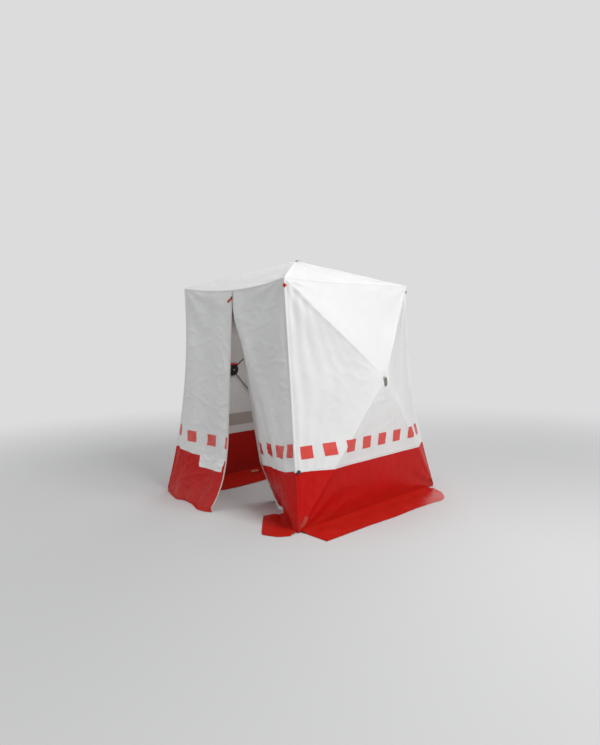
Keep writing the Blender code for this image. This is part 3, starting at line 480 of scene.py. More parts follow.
def coated_cloth(name, colour, roughness, gloss=0.4, dust=None, inside=False):
    """PVC-coated polyester: a tight plain weave under a smooth coat, so a soft satin gloss.

    The threads are about 0.5 mm apart and are drawn at 2.4 mm so that they show.
    """
    made, tree, shader = new_material(name, roughness=roughness, specular_ior_level=gloss)
    place = add_node(tree, "TexCoord")
    uv, spot = place.outputs["UV"], place.outputs["Object"]
    weave = [add_node(tree, "TexWave", {"bands_direction": way, "Scale": 66.0,
                                        "Distortion": 0.6, "Detail Scale": 40.0},
                      {"Vector": uv}).outputs["Fac"] for way in "XY"]
    threads = add_node(tree, "Math", {"operation": "MULTIPLY"}, dict(enumerate(weave)))
    crumple = add_node(tree, "TexNoise", {"Scale": 42.0, "Detail": 5.0, "Roughness": 0.6},
                       {"Vector": spot})
    first = add_node(tree, "Bump", {"Strength": 0.22, "Distance": 0.0005}, {"Height": threads})
    second = add_node(tree, "Bump", {"Strength": 0.35, "Distance": 0.0014},
                      {"Height": crumple, "Normal": first})
    cloud = add_node(tree, "TexNoise", {"Scale": 2.6, "Detail": 6.0, "Roughness": 0.62},
                     {"Vector": spot})
    tone = add_node(tree, "ValToRGB", None, {"Fac": cloud})
    for stop, position, share in zip(tone.color_ramp.elements, (0.34, 0.66), (0.94, 1.0)):
        stop.position, stop.color = position, linear(colour, share)
    paint = add_node(tree, "Mix", {"data_type": "RGBA", "blend_type": "MULTIPLY",
                                   "Factor": 0.06}, {"A": tone, "B": threads})
    height = add_node(tree, "SeparateXYZ", None, {"Vector": spot}).outputs["Z"]
    if dust:
        # Work-site dust rises a little way from the hem and thins out unevenly
        grain = add_node(tree, "TexNoise", {"Scale": 9.0, "Detail": 8.0, "Roughness": 0.7},
                         {"Vector": spot})
        rise = add_node(tree, "MapRange", {"From Min": 0.0, "From Max": 0.15, "To Min": 0.45,
                                           "To Max": 0.0}, {"Value": height})
        share = add_node(tree, "Math", {"operation": "MULTIPLY"}, {0: rise, 1: grain})
        paint = add_node(tree, "Mix", {"data_type": "RGBA", "B": linear(dust)},
                         {"Factor": share, "A": paint})
    if inside:
        # The backs of the reflective squares' carrier tape show as a taupe band between two seams
        ends = [add_node(tree, "MapRange", {"From Min": clear, "From Max": full},
                         {"Value": height}) for clear, full in ((0.508, 0.514), (0.640, 0.634))]
        band = add_node(tree, "Math", {"operation": "MULTIPLY"}, dict(enumerate(ends)))
        paint = add_node(tree, "Mix", {"data_type": "RGBA", "B": linear("#a19a92")},
                         {"Factor": band, "A": paint})
    link_up(tree, shader, {"Base Color": paint, "Normal": second})
    return made


def prismatic_sheet(name, colour):
    """Red prismatic reflective sheet: small welded cells under a glossy film."""
    made, tree, shader = new_material(name, roughness=0.34, coat_weight=0.5, coat_roughness=0.18)
    place = add_node(tree, "TexCoord").outputs["UV"]
    # Cells are about 3 mm across, drawn at 7 mm
    cells = add_node(tree, "TexVoronoi", {"feature": "DISTANCE_TO_EDGE", "Scale": 140.0,
                                          "Randomness": 0.15}, {"Vector": place})
    wall = add_node(tree, "MapRange", {"From Min": 0.0, "From Max": 0.10}, {"Value": cells})
    paint = add_node(tree, "Mix", {"data_type": "RGBA", "A": linear(colour, 0.70),
                                   "B": linear(colour)}, {"Factor": wall})
    bump = add_node(tree, "Bump", {"Strength": 0.3, "Distance": 0.0006}, {"Height": wall})
    link_up(tree, shader, {"Base Color": paint, "Normal": bump})
    return made


def woven_tape(name, colour, dark, ribs, roughness=0.8, slant=0.0):
    """Polyester tape or webbing: thick ribs across its length, matt, a little fuzzy."""
    made, tree, shader = new_material(name, roughness=roughness, sheen_weight=0.25)
    place = add_node(tree, "TexCoord").outputs["UV"]
    turned = add_node(tree, "Mapping", {"Rotation": (0, 0, slant)}, {"Vector": place})
    wave = add_node(tree, "TexWave", {"Scale": ribs, "Distortion": 0.8}, {"Vector": turned})
    cross = add_node(tree, "TexWave", {"bands_direction": "Y", "Scale": ribs * 0.8,
                                       "Distortion": 0.5}, {"Vector": turned})
    weave = add_node(tree, "Math", {"operation": "MULTIPLY"},
                     {0: wave.outputs["Fac"], 1: cross.outputs["Fac"]})
    paint = add_node(tree, "Mix", {"data_type": "RGBA", "A": linear(dark),
                                   "B": linear(colour)}, {"Factor": weave})
    bump = add_node(tree, "Bump", {"Strength": 0.6, "Distance": 0.0005}, {"Height": weave})
    link_up(tree, shader, {"Base Color": paint, "Normal": bump})
    return made


def moulded(name, colour, worn, roughness, grain=260.0, metallic=0.0, strength=0.25):
    """Moulded plastic or plated metal: fine spark texture, and faces worn unevenly."""
    made, tree, shader = new_material(name, roughness=roughness, metallic=metallic)
    place = add_node(tree, "TexCoord").outputs["Object"]
    fine = add_node(tree, "TexNoise", {"Scale": grain, "Detail": 3.0}, {"Vector": place})
    broad = add_node(tree, "TexNoise", {"Scale": 17.0, "Detail": 7.0, "Roughness": 0.68},
                     {"Vector": place})
    tone = add_node(tree, "ValToRGB", None, {"Fac": broad})
    for stop, position, paint in zip(tone.color_ramp.elements, (0.46, 0.74), (colour, worn)):
        stop.position, stop.color = position, linear(paint)
    rough = add_node(tree, "MapRange", {"From Min": 0.3, "From Max": 0.7,
                                        "To Min": roughness * 0.85,
                                        "To Max": min(1.0, roughness * 1.2)},
                     {"Value": broad})
    bump = add_node(tree, "Bump", {"Strength": strength, "Distance": 0.0003}, {"Height": fine})
    link_up(tree, shader, {"Base Color": tone, "Roughness": rough, "Normal": bump})
    return made


FINISH = {}


def make_finishes(colours):
    white, red = list(colours.white), list(colours.red)
    FINISH["white"] = coated_cloth("coated_cloth_white", white, 0.50)
    FINISH["white_inside"] = coated_cloth("coated_cloth_white_back", "#d2d2d0", 0.72, inside=True)
    FINISH["red"] = coated_cloth("coated_cloth_red", red, 0.40, 0.16, dust="#a8402f")
    FINISH["red_inside"] = coated_cloth("coated_cloth_red_back", "#a81a15", 0.6, 0.15,
                                        dust="#8a3a2e")
    # Painted shade: a dark grey given to red corner tabs that stand in shade, in place of their red
    FINISH["dark_cloth"] = coated_cloth("coated_cloth_dark", "#5a4a4a", 0.5)
    FINISH["reflector"] = prismatic_sheet("prismatic_reflective_sheet", list(colours.reflector))
    FINISH["zip_tape"] = woven_tape("zip_tape_polyester", "#e8e5de", "#d6d1c7", 190.0, slant=0.78)
    FINISH["label"] = coated_cloth("blank_label_cloth", "#f4f4f3", 0.40)
    FINISH["webbing"] = woven_tape("pull_strap_webbing", "#9a9186", "#6a635b", 150.0)
    FINISH["pale_webbing"] = woven_tape("pale_webbing", "#dad8d2", "#b9b6ae", 150.0)
    FINISH["foot_webbing"] = woven_tape("foot_strap_webbing", "#cf4a38", "#a92c22", 150.0)
    FINISH["teeth"] = moulded("zip_coil_nylon", "#d8d3c8", "#e8e4db", 0.45)
    FINISH["stitch"] = woven_tape("sewing_thread", "#e7e5df", "#bdbab2", 400.0)
    FINISH["hub"] = moulded("glass_filled_nylon_black", "#1b1b1c", "#2e2e2f", 0.46)
    FINISH["fitting"] = moulded("polypropylene_black", "#202021", "#353536", 0.52)
    FINISH["washer"] = moulded("washer_polypropylene_grey", "#c9c8c4", "#b0afab", 0.50)
    FINISH["red_plastic"] = moulded("moulded_nylon_red", "#c2281c", "#a5352b", 0.40)
    FINISH["steel"] = moulded("zinc_plated_steel", "#b9bcc0", "#8f9296", 0.30, 500.0, 1.0, 0.1)
    FINISH["slider"] = moulded("painted_zinc_slider", "#55565a", "#8a8b8e", 0.34, 300.0, 0.7)
    FINISH["rod"] = moulded("pultruded_glass_fibre", "#26272a", "#3c3e42", 0.36, 140.0)
    FINISH["grommet"] = moulded("grommet_plastic_beige", "#c8b48c", "#a8946e", 0.46)


# Mesh helpers


def add_mesh(name, verts, faces, uvs=None, finishes=()):
    mesh = bpy.data.meshes.new(name)
    mesh.from_pydata([tuple(world(v)) for v in verts], [], faces)
    for finish in finishes:
        mesh.materials.append(FINISH[finish])
    if uvs:
        layer = mesh.uv_layers.new(name="cloth")
        for loop in mesh.loops:
            layer.data[loop.index].uv = uvs[loop.vertex_index]
    mesh.update()
    made = bpy.data.objects.new(name, mesh)
    bpy.context.scene.collection.objects.link(made)
    return made


def grid_faces(rows, columns, closed=False):
    faces = []
    for base in range(0, (rows - 1) * columns, columns):
        for c in range(columns if closed else columns - 1):
            d = (c + 1) % columns
            faces.append((base + c, base + d, base + columns + d, base + columns + c))
    return faces


def shifted(loops, base):
    """Faces whose points are numbered from base on."""
    return [tuple(base + k for k in loop) for loop in loops]


def deselect():
    for other in bpy.context.selected_objects:
        other.select_set(False)


def alone(piece):
    """Select one object and make it active."""
    deselect()
    piece.select_set(True)
    bpy.context.view_layer.objects.active = piece


def apply_all(piece):
    alone(piece)
    for step in list(piece.modifiers):
        bpy.ops.object.modifier_apply(modifier=step.name)


def edit(piece, change):
    """Change a piece's mesh by a function of its bmesh."""
    bm = bmesh.new()
    bm.from_mesh(piece.data)
    change(bm)
    bm.to_mesh(piece.data)
    bm.free()


def merge_doubles(bm):
    bmesh.ops.remove_doubles(bm, verts=bm.verts, dist=0.00002)
    bmesh.ops.dissolve_degenerate(bm, edges=bm.edges, dist=0.00002)


def face_outwards(bm):
    bmesh.ops.recalc_face_normals(bm, faces=bm.faces)


def bisect(bm, place, normal, distance, **cleared):
    bmesh.ops.bisect_plane(
        bm, geom=bm.verts[:] + bm.edges[:] + bm.faces[:], dist=distance, plane_co=place,
        plane_no=normal, **cleared,
    )


def outwards(piece, direction):
    """Turn a sheet's faces so that most of them look along the direction."""
    total = sum(p.area * p.normal.dot(direction) for p in piece.data.polygons)
    if total < 0:
        piece.data.flip_normals()


def thicken(piece, thickness, inner_finish=0):
    step = piece.modifiers.new("cloth", "SOLIDIFY")
    step.thickness = thickness
    step.offset = -1
    step.material_offset = inner_finish
    apply_all(piece)


def shade(piece, degrees):
    alone(piece)
    bpy.ops.object.shade_smooth_by_angle(angle=math.radians(degrees))


def sew(name, rows, finishes, out, thickness=CLOTH, degrees=60, doubled=False):
    """Sheet through rows of points, each with its place on the flat cloth. Its outer side looks
    along out, a second finish is for its inside, and doubled says that some points coincide."""
    verts, uvs = zip(*(spot for row in rows for spot in row))
    made = add_mesh(name, verts, grid_faces(len(rows), len(rows[0])), uvs, finishes)
    if doubled:
        edit(made, merge_doubles)
    outwards(made, out)
    thicken(made, thickness, len(finishes) - 1)
    shade(made, degrees)
    return made


def area_of(piece):
    return sum(p.area for p in piece.data.polygons)


def turned_part(name, sides, radius, depth, place, direction, steps, bevel, finish, degrees):
    """Low round or many-sided part with its axis along direction. Its end steps in, each step by
    its inset and its rise, and its edges are bevelled."""
    turn = Vector((0, 0, 1)).rotation_difference(direction)
    deselect()
    bpy.ops.mesh.primitive_cylinder_add(
        vertices=sides, radius=radius, depth=depth, location=place, rotation=turn.to_euler())
    made = bpy.context.object
    made.name = name
    bpy.ops.object.mode_set(mode="EDIT")
    bm = bmesh.from_edit_mesh(made.data)
    for f in bm.faces:
        f.select_set(len(f.verts) > 4 and f.normal.z > 0.5)
    bmesh.update_edit_mesh(made.data)
    for inset, rise in steps:
        bpy.ops.mesh.inset(thickness=inset)
        bpy.ops.transform.translate(value=direction * rise)
    bpy.ops.object.mode_set(mode="OBJECT")
    step = made.modifiers.new("edges", "BEVEL")
    step.width, step.segments, step.limit_method = bevel, 2, "ANGLE"
    apply_all(made)
    bpy.ops.object.transform_apply(location=True, rotation=True, scale=True)
    made.data.materials.append(FINISH[finish])
    shade(made, degrees)
    return made


def follow(piece, body, slot):
    """A piece that moves with one body."""
    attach(piece, body)


def follow_door(piece, door):
    """A piece on a door panel, which the fold parts from the corner seam. Its transform is only
    baked into its mesh; it does not move with the door.
    """
    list(door.blend_line())
    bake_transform(piece)


def repaint(node, finish):
    """Give a part of the CAD model a finish of its own."""
    node.data.materials.clear()
    node.data.materials.append(FINISH[finish])


def joint_place(name):
    return Vector(next(j for j in frame["joints"] if j["name"] == name)["pos_m"])


# Cloth


def cone_cloth(face, name):
    """The whole tight sheet of a roof or wall, before it is cut at the band."""
    rows = [(radius, 0.0) for radius in (STUD_HOLE, 0.022, 0.042, HUB_FLAT - 0.004)]
    # Closer rows by the hub and by the seams, where the cloth bends most
    rows += [(HUB_FLAT, s + 0.10 * math.sin(s * math.tau) / -math.tau * 2) for s in CONE_SHARES]
    verts, uvs = [], []
    for start, share in rows:
        for a, b, _ in face.rim:
            reach = math.hypot(a, b)
            radius = start + (reach - HUB_FLAT) * share
            x, y = a / reach * radius, b / reach * radius
            verts.append(face.point(x, y))
            uvs.append((x, y))
    made = add_mesh(name, verts, grid_faces(len(rows), len(face.rim), closed=True), uvs)
    outwards(made, face.normal)
    return made


def part_in_rings(piece, face, lift, smooth=False):
    """Part a piece on a roof or wall, lift over its cloth, in rings by its height; the rings are
    not moved with the hub. The largest keeps the name and comes first."""
    base = world(face.centre + face.normal * lift)

    def cut(bm):
        for share in RINGS[1][1:3]:
            bisect(bm, base + face.normal * (face.pop * share), face.normal, 0.000001)

    edit(piece, cut)
    mesh = piece.data
    normals = [v.normal.copy() for v in mesh.vertices]
    name = piece.name
    piece.name = "whole"
    parts = []
    for ring, low, high, start, end in RINGS:
        bm = bmesh.new()
        bm.from_mesh(mesh)
        number = bm.verts.layers.int.new("number")
        for v in bm.verts:
            v[number] = v.index
        others = [f for f in bm.faces
                  if not low <= (f.calc_center_median() - base).dot(face.normal) / face.pop < high]
        bmesh.ops.delete(bm, geom=others, context="FACES")
        kept = [v[number] for v in bm.verts]
        bm.verts.layers.int.remove(number)
        if kept:
            part = piece.copy()
            part.data = mesh.copy()
            bm.to_mesh(part.data)
            part.name = part.data.name = f"{name}_{ring}"
            bpy.context.scene.collection.objects.link(part)
            if smooth:
                # The whole sheet's normals, so that no line shows where it is parted
                part.data.normals_split_custom_set_from_vertices([normals[k] for k in kept])
            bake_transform(part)
            parts.append(part)
        bm.free()
    bpy.data.objects.remove(piece)
    parts.sort(key=area_of, reverse=True)
    parts[0].name = parts[0].data.name = name
    return parts


def hang(face, piece, colour, node):
    """Outside and inside of a roof's or wall's cloth, both tight over the hub."""
    inner = piece.copy()
    inner.data = piece.data.copy()
    inner.name = inner.data.name = piece.name.replace("cloth", "lining")
    bpy.context.scene.collection.objects.link(inner)
    inner.data.transform(Matrix.Translation(face.normal * -CLOTH))
    inner.data.flip_normals()
    parts = []
    for layer, lift, finish in ((piece, 0.0, colour), (inner, -CLOTH, f"{colour}_inside")):
        layer.data.materials.append(FINISH[finish])
        layer.data.shade_smooth()
        parts += part_in_rings(layer, face, lift, smooth=True)
    for part in parts:
        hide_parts(node)


class TENT_OT_walls(Operator):
    """Roof and three walls, tight over their hubs, white above a red band"""

    bl_idname = "tent.walls"
    bl_label = "Roof and walls"

    def execute(self, context):
        hang(ROOF, cone_cloth(ROOF, "roof_cloth"), "white", "roof_panel")
        for face in WALLS:
            for colour, flat in (("white", (1.86, 1.60)), ("red", (1.86, 0.50))):
                piece = cone_cloth(face, f"{face.name}_wall_{colour}_cloth")
                white = colour == "white"
                edit(piece, lambda bm: bisect(bm, (0, 0, BAND_HEIGHT), (0, 0, 1), 0.00001,
                                              clear_inner=white, clear_outer=not white))
                hang(face, piece, colour, f"{face.name}_wall_{colour}")
        return {"FINISHED"}


FIXED_COLUMNS, FOLDING_COLUMNS = 34, 62


def column_place(door, number, v):
    """Place of a column across a panel: some are between seam and fold, the rest up to the zip."""
    fold = abs(door.pivot.lerp(door.crown, v).x)
    outer = abs(seam(door.side, -1, v).x)
    if number < FIXED_COLUMNS:
        return outer + (fold - outer) * number / FIXED_COLUMNS
    return fold + (DOOR_EDGE - fold) * (number - FIXED_COLUMNS) / (FOLDING_COLUMNS - 1)


def panel_rows(door, upper, count):
    """Points and map of a panel's white or red cloth."""
    rows = []
    for row in range(count):
        share = row / (count - 1)
        rows.append([])
        for number in range(FIXED_COLUMNS + FOLDING_COLUMNS):
            v = share
            # The joint's height depends on the place across, and that on the height
            for _ in range(4):
                x = column_place(door, number, v)
                joint = door.share_at(door.boundary(x))
                v = joint + (1 - joint) * share if upper else joint * share
            rows[-1].append((door.point(x, v), (x * door.side, door.shut(x, v).z)))
    return rows


class TENT_OT_doors(Operator):
    """Two door panels, each from its corner seam round the fold to the zip"""

    bl_idname = "tent.doors"
    bl_label = "Door panels"

    def execute(self, context):
        for door in DOORS:
            for colour, count, flat in (("white", 120, (0.90, 1.50)), ("red", 48, (0.96, 0.46))):
                name = f"{door.name}_door_{colour}"
                piece = sew(f"{name}_cloth", panel_rows(door, colour == "white", count),
                            (colour, f"{colour}_inside"), DOOR_FRONT, doubled=True)
                follow_door(piece, door)
                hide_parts(name)
        return {"FINISHED"}


# Mud flaps

# Outer edges of the mud flaps on the ground, each from the same end as its hem below
FLAP_OUTLINES = {
    "right": ((1.168, -0.880), (1.172, -0.622), (1.176, -0.386), (1.196, -0.103), (1.190, 0.176),
              (1.203, 0.418), (1.226, 0.540), (1.184, 0.645), (1.067, 0.767)),
    "left": ((-0.640, 0.600), (-0.520, 0.540), (-0.474, 0.330), (-0.488, 0.060), (-0.462, -0.240),
             (-0.470, -0.500), (-0.540, -0.690), (-0.660, -0.745)),
    "back": ((0.590, 0.700), (0.480, 0.640), (0.220, 0.648), (-0.060, 0.632), (-0.330, 0.642),
             (-0.500, 0.660), (-0.590, 0.720)),
    "right_door": ((0.898, -0.985), (0.845, -1.060), (0.722, -1.108), (0.610, -1.010),
                   (0.480, -0.890), (0.392, -0.806)),
    "left_door": ((-0.862, -0.928), (-0.700, -0.985), (-0.560, -1.026), (-0.470, -0.996),
                  (-0.300, -1.022), (-0.160, -1.078), (-0.050, -1.066), (0.004, -1.030)),
}
# Where each flap starts and ends along its wall, or from the middle of the doorway
FLAP_HEMS = {"right": (-0.870, 0.795), "left": (0.600, -0.750), "back": (0.600, -0.600),
             "right_door": (0.876, 0.452), "left_door": (0.862, 0.035)}
FLAP_START = 0.018  # height at which a wall's flap leaves its hem
FLAP_LIE = 0.0028  # height of its cloth where it lies flat


def flap_sheet(name, hem, edge, body, seed, columns=70):
    """Cloth that runs down from a hem line and lies on the ground. hem gives a point for a place
    along it, and edge is the outline of the flap's outer side."""
    rows = []
    run, last = 0.0, None
    for i in range(columns):
        t = i / (columns - 1)
        start, end = hem(t), along(edge, t)
        if last is not None:
            run += (start - last).length
        last = start
        rows.append([])
        for j in range(16):
            s = j / 15
            spot = start.lerp(end, s)
            lie = FLAP_LIE + (start.z - FLAP_LIE) * (1 - smoothstep(0.0, 0.30, s))
            sway = noise_at(run * 1.4, s, seed)
            wave = 0.5 + 0.5 * math.sin(run * 17 + seed + 4 * sway)
            ripple = noise_at(spot.x * 9, spot.y * 9, seed)
            lie += (0.013 * wave ** 2 * math.sin(math.pi * min(1, s * 1.12))
                    * smoothstep(0.05, 0.4, s))
            lie += 0.0045 * max(0.0, ripple) * smoothstep(0.1, 0.5, s)
            rows[-1].append((Vector((spot.x, spot.y, lie)), (run, s * (end - start).length)))
    made = sew(name, rows, ("red", "red_inside"), Vector((0, 0, 1)))
    follow(made, body, "red_cloth")


def along(outline, t):
    """Point at a share t of the length of an outline."""
    runs = [(q - p).length for p, q in zip(outline, outline[1:])]
    left = t * sum(runs)
    for p, q, run in zip(outline, outline[1:], runs):
        if left <= run:
            return p.lerp(q, left / run)
        left -= run
    return outline[-1].copy()


def softened(name, reach=3, steps=60):
    """A flap's outline in even steps, with its corners rounded."""
    outline = [Vector((*p, 0)) for p in FLAP_OUTLINES[name]]
    points = [along(outline, i / steps) for i in range(steps + 1)]
    for _ in range(reach):
        inner = [(a + b * 2 + c) / 4 for a, b, c in zip(points, points[1:], points[2:])]
        points = [points[0], *inner, points[-1]]
    return points


class TENT_OT_flaps(Operator):
    """Mud flaps on the ground, outwards at the right and front, inwards at the left and back"""

    bl_idname = "tent.flaps"
    bl_label = "Mud flaps"

    def execute(self, context):
        for face in WALLS:
            ends = []
            for value in FLAP_HEMS[face.name]:
                point = face.corners[0].copy()
                point[0 if face is BACK else 1] = value
                point.z = FLAP_START
                ends.append(point)
            flap_sheet(f"{face.name}_mud_flap", lambda t: ends[0].lerp(ends[1], t),
                       softened(face.name), "tent", 3 + face.seed)
        for door in reversed(DOORS):
            name = f"{door.name}_door"
            start, end = FLAP_HEMS[name]

            def hem(t):
                point = door.point(start + (end - start) * t, 0.004)
                return Vector((point.x, point.y, max(0.012, point.z)))

            flap_sheet(f"{name}_mud_flap", hem, softened(name, reach=2), name, 8.0 + door.side,
                       columns=44)
        return {"FINISHED"}


class TENT_OT_flap_patch(Operator):
    """Beige oval grommet in the left mud flap"""

    bl_idname = "tent.flap_patch"
    bl_label = "Flap grommet"

    def execute(self, context):
        deselect()
        bpy.ops.mesh.primitive_torus_add(
            major_segments=40, minor_segments=10, major_radius=0.030, minor_radius=0.0085,
            location=world((-0.780, 0.087, 0.024)))
        made = bpy.context.object
        made.name = "left_flap_grommet"
        made.scale = (0.75, 1.25, 0.45)
        bpy.ops.object.transform_apply(location=True, rotation=True, scale=True)
        made.data.materials.append(FINISH["grommet"])
        shade(made, 60)
        follow(made, "tent", "zip_tape")
        return {"FINISHED"}


# Joint of white and red cloth

SEAM_RISE = 0.009  # middle of the seam over the joint
SEAM_LIFT, SEAM_EDGE_LIFT, THREAD_LIFT = 0.0013, 0.0005, 0.0018  # over the cloth


def seam_strip(name, spots, point_at, out):
    """Flat-felled seam along a row of places, and its line of stitches on each side."""
    rows = [[(point_at(x, z + k, SEAM_EDGE_LIFT if abs(k) > 0.007 else SEAM_LIFT), (x, z + k))
             for k in (-0.0080, -0.0066, 0.0, 0.0066, 0.0080)] for x, z in spots]
    strip = sew(f"{name}_seam", rows, ["white"], out, 0.0005)
    verts, faces = [], []
    for k in (-0.0050, 0.0050):
        for (x0, z0), (x1, z1) in zip(spots, spots[1:]):
            for share in (0.0, 0.5):
                faces += shifted(((0, 3, 4, 1), (1, 4, 5, 2), (0, 2, 5, 3), (0, 1, 2), (3, 5, 4)),
                                 len(verts))
                for t in (share + 0.06, share + 0.40):
                    x, z = x0 + (x1 - x0) * t, z0 + (z1 - z0) * t + k
                    verts += [point_at(x, z - 0.0004, SEAM_LIFT), point_at(x, z, THREAD_LIFT),
                              point_at(x, z + 0.0004, SEAM_LIFT)]
    thread = add_mesh(f"{name}_stitches", verts, faces, None, ["stitch"])
    edit(thread, face_outwards)
    return strip, thread


class TENT_OT_seams(Operator):
    """Flat-felled seams where the white cloth meets the red band"""

    bl_idname = "tent.seams"
    bl_label = "Seams"

    def execute(self, context):
        for face in WALLS:
            b = (BAND_HEIGHT + SEAM_RISE - face.centre.z) / face.up.z
            reach = min(abs(face.rim_at(a, b)[0]) for a in (-0.8, 0.8)) - 0.012
            spots = [(-reach + 2 * reach * i / 150, b) for i in range(151)]
            strip, thread = seam_strip(f"{face.name}_wall", spots, face.point, face.normal)
            part_in_rings(strip, face, SEAM_LIFT)
            part_in_rings(thread, face, THREAD_LIFT)
        for door in DOORS:
            outer = abs(seam(door.side, -1, door.share_at(BAND_HEIGHT)).x) - 0.012
            inner = DOOR_EDGE + 0.016
            places = [outer + (inner - outer) * i / 90 for i in range(91)]
            spots = [(x, door.boundary(x) + SEAM_RISE) for x in places]
            for made in seam_strip(f"{door.name}_door", spots, door.point_at_height, DOOR_FRONT):
                follow_door(made, door)
        return {"FINISHED"}


# Bindings over the seams

BAND_SHARE = (BAND_HEIGHT - HEM_HEIGHT) / (EAVE_HEIGHT - HEM_HEIGHT)
CORNERS = [(sx, sy) for sx in (-1, 1) for sy in (-1, 1)]
SEAM_BULGE, EAVE_BULGE, TAB_BULGE = 0.0050, 0.0022, 0.0062  # how far the tape's middle stands out


def corner_name(sx, sy):
    return f"{'front' if sy < 0 else 'back'}_{'left' if sx < 0 else 'right'}"


def seam_path(sx, sy, places):
    """Points of a corner seam, and at each the two directions along the cloth beside it."""
    wall, door = (LEFT, DOORS[0]) if sx < 0 else (RIGHT, DOORS[1])
    path, sides = [], []
    for t in places:
        spot = seam(sx, sy, t)
        path.append(spot)
        sides.append((wall.peak - spot, (BACK.peak if sy > 0 else door.closed_edge(t)) - spot))
    return path, sides


def binding(name, path, sides, half, lift, finish, slot, widths=None):
    """Folded tape sewn over a seam. sides gives, for each point of its path, the two directions
    along the cloth."""
    rows, run = [], 0.0
    for i, (p, (one, two)) in enumerate(zip(path, sides)):
        ahead = (path[min(i + 1, len(path) - 1)] - path[max(i - 1, 0)]).normalized()
        one = (one - ahead * one.dot(ahead)).normalized()
        two = (two - ahead * two.dot(ahead)).normalized()
        out = -(one + two).normalized()
        width = half * (widths[i] if widths else 1)
        rows.append([])
        for k in (-1.0, -0.72, -0.40, -0.14, 0.0, 0.14, 0.40, 0.72, 1.0):
            side = one if k < 0 else two
            up = ahead.cross(side)
            if up.dot(out) < 0:
                up.negate()
            bulge = 1 - abs(k) ** 2.2
            rise = up * (0.0006 + lift * bulge) if k else out * (lift * 1.25)
            rows[-1].append((p + side * (abs(k) * width) + rise, (run, k * width)))
        if i < len(path) - 1:
            run += (path[i + 1] - p).length
    one, two = sides[len(path) // 2]
    made = sew(name, rows, [finish], -(one.normalized() + two.normalized()), SEWN)
    follow(made, "tent", slot)


class TENT_OT_bindings(Operator):
    """Tape folded over the four corner seams and the four eaves"""

    bl_idname = "tent.bindings"
    bl_label = "Bindings"

    def execute(self, context):
        half = context.scene.tent_sizes.binding
        for corner in CORNERS:
            for colour, low, high, steps in (("white", BAND_SHARE, 0.995, 64),
                                             ("red", 0.008, BAND_SHARE, 20)):
                places = [low + (high - low) * i / steps for i in range(steps + 1)]
                binding(f"{corner_name(*corner)}_{colour}_binding", *seam_path(*corner, places),
                        half, SEAM_BULGE, colour, f"{colour}_cloth")
        eaves = zip(("right", "back", "left", "door"), ROOF.edges, (RIGHT, BACK, LEFT, None))
        over_door = Vector((0, -0.09, -1))
        for name, edge, wall in eaves:
            path = [edge(i / 64) for i in range(65)]
            sides = [(ROOF.peak - p, wall.peak - p if wall else over_door) for p in path]
            binding(f"{name}_eave_binding", path, sides, half * 0.8, EAVE_BULGE, "white",
                    "white_cloth")
        return {"FINISHED"}


# Reflective squares and label

# Middles of the squares across a wall, from the hub's line
WALL_SQUARES = (-0.727, -0.548, -0.370, -0.172, 0.027, 0.231, 0.440, 0.660)
# Middle, from the doorway's middle, and width of each square on a panel. The panels' cloth is
# gathered, so that the squares on it are further apart at some places.
DOOR_SQUARES = {
    "left": ((0.758, 0.050), (0.521, 0.132), (0.236, 0.132), (0.027, 0.020)),
    "right": ((0.155, 0.120), (0.385, 0.125), (0.612, 0.098), (0.738, 0.072)),
}
DOOR_SQUARE_RISE = 0.152  # over the joint
LABEL_SIDE, LABEL_FOOT = 0.385, 0.300  # from the doorway's middle, and over the ground
LABEL_WIDTH, LABEL_SLANT, LABEL_HEIGHT = 0.335, 0.028, 0.112


def reflectors(name, places, height, point_at, out, steps=14):
    """Reflective patches in one mesh. Each place gives the middle of a patch and its width."""
    verts, uvs, faces = [], [], []
    for x, z, width in places:
        faces += shifted(grid_faces(steps + 1, steps + 1), len(verts))
        for j in range(steps + 1):
            for i in range(steps + 1):
                uvs.append((x - width / 2 + width * i / steps, z - height / 2 + height * j / steps))
                verts.append(point_at(*uvs[-1], LIFT))
    made = add_mesh(f"{name}_reflectors", verts, faces, uvs, ["reflector"])
    outwards(made, out)
    thicken(made, SEWN)
    shade(made, 40)
    return made


class TENT_OT_reflectors(Operator):
    """Square reflective patches in the white cloth, just above the band"""

    bl_idname = "tent.reflectors"
    bl_label = "Reflective squares"

    def execute(self, context):
        sizes = context.scene.tent_sizes
        size, level = sizes.square, sizes.square_height
        for face in WALLS:
            # Height over the ground to height over the hub's line, in the face's own plane
            b = (level - face.centre.z) / face.up.z
            spots = [(a, b - 0.013, size) for a in WALL_SQUARES]
            made = reflectors(f"{face.name}_wall", spots, size, face.point, face.normal)
            part_in_rings(made, face, LIFT)
        for door in DOORS:
            spots = [(x, door.boundary(x) + DOOR_SQUARE_RISE, width)
                     for x, width in DOOR_SQUARES[door.name]]
            made = reflectors(f"{door.name}_door", spots, size, door.point_at_height, DOOR_FRONT)
            follow_door(made, door)
        return {"FINISHED"}


class TENT_OT_label(Operator):
    """Blank cloth label over the joint of white and red, with a hemmed edge"""

    bl_idname = "tent.label"
    bl_label = "Label"

    def execute(self, context):
        door = DOORS[0]
        columns, height = 40, 22
        rows = []
        for j in range(height + 1):
            rows.append([])
            for i in range(columns + 1):
                # Its free side is cut on a slant
                x = LABEL_SIDE - (LABEL_WIDTH + LABEL_SLANT * j / height) * i / columns
                z = LABEL_FOOT + LABEL_HEIGHT * j / height
                hem = min(i, columns - i, j, height - j) == 1
                rows[-1].append((door.point_at_height(x, z, 0.0023 if hem else 0.0016), (x, z)))
        made = sew("blank_label", rows, ["label"], DOOR_FRONT, 0.0008, 40)
        follow(made, "left_door", "label")
        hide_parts("label_patch")
        return {"FINISHED"}


# Zip

TAPE_WIDTH = 0.015
TEETH_LIFT = 0.0022
TOOTH = (0.0021, 0.0012, 0.0012)  # half sizes: across the edge, along it and outwards


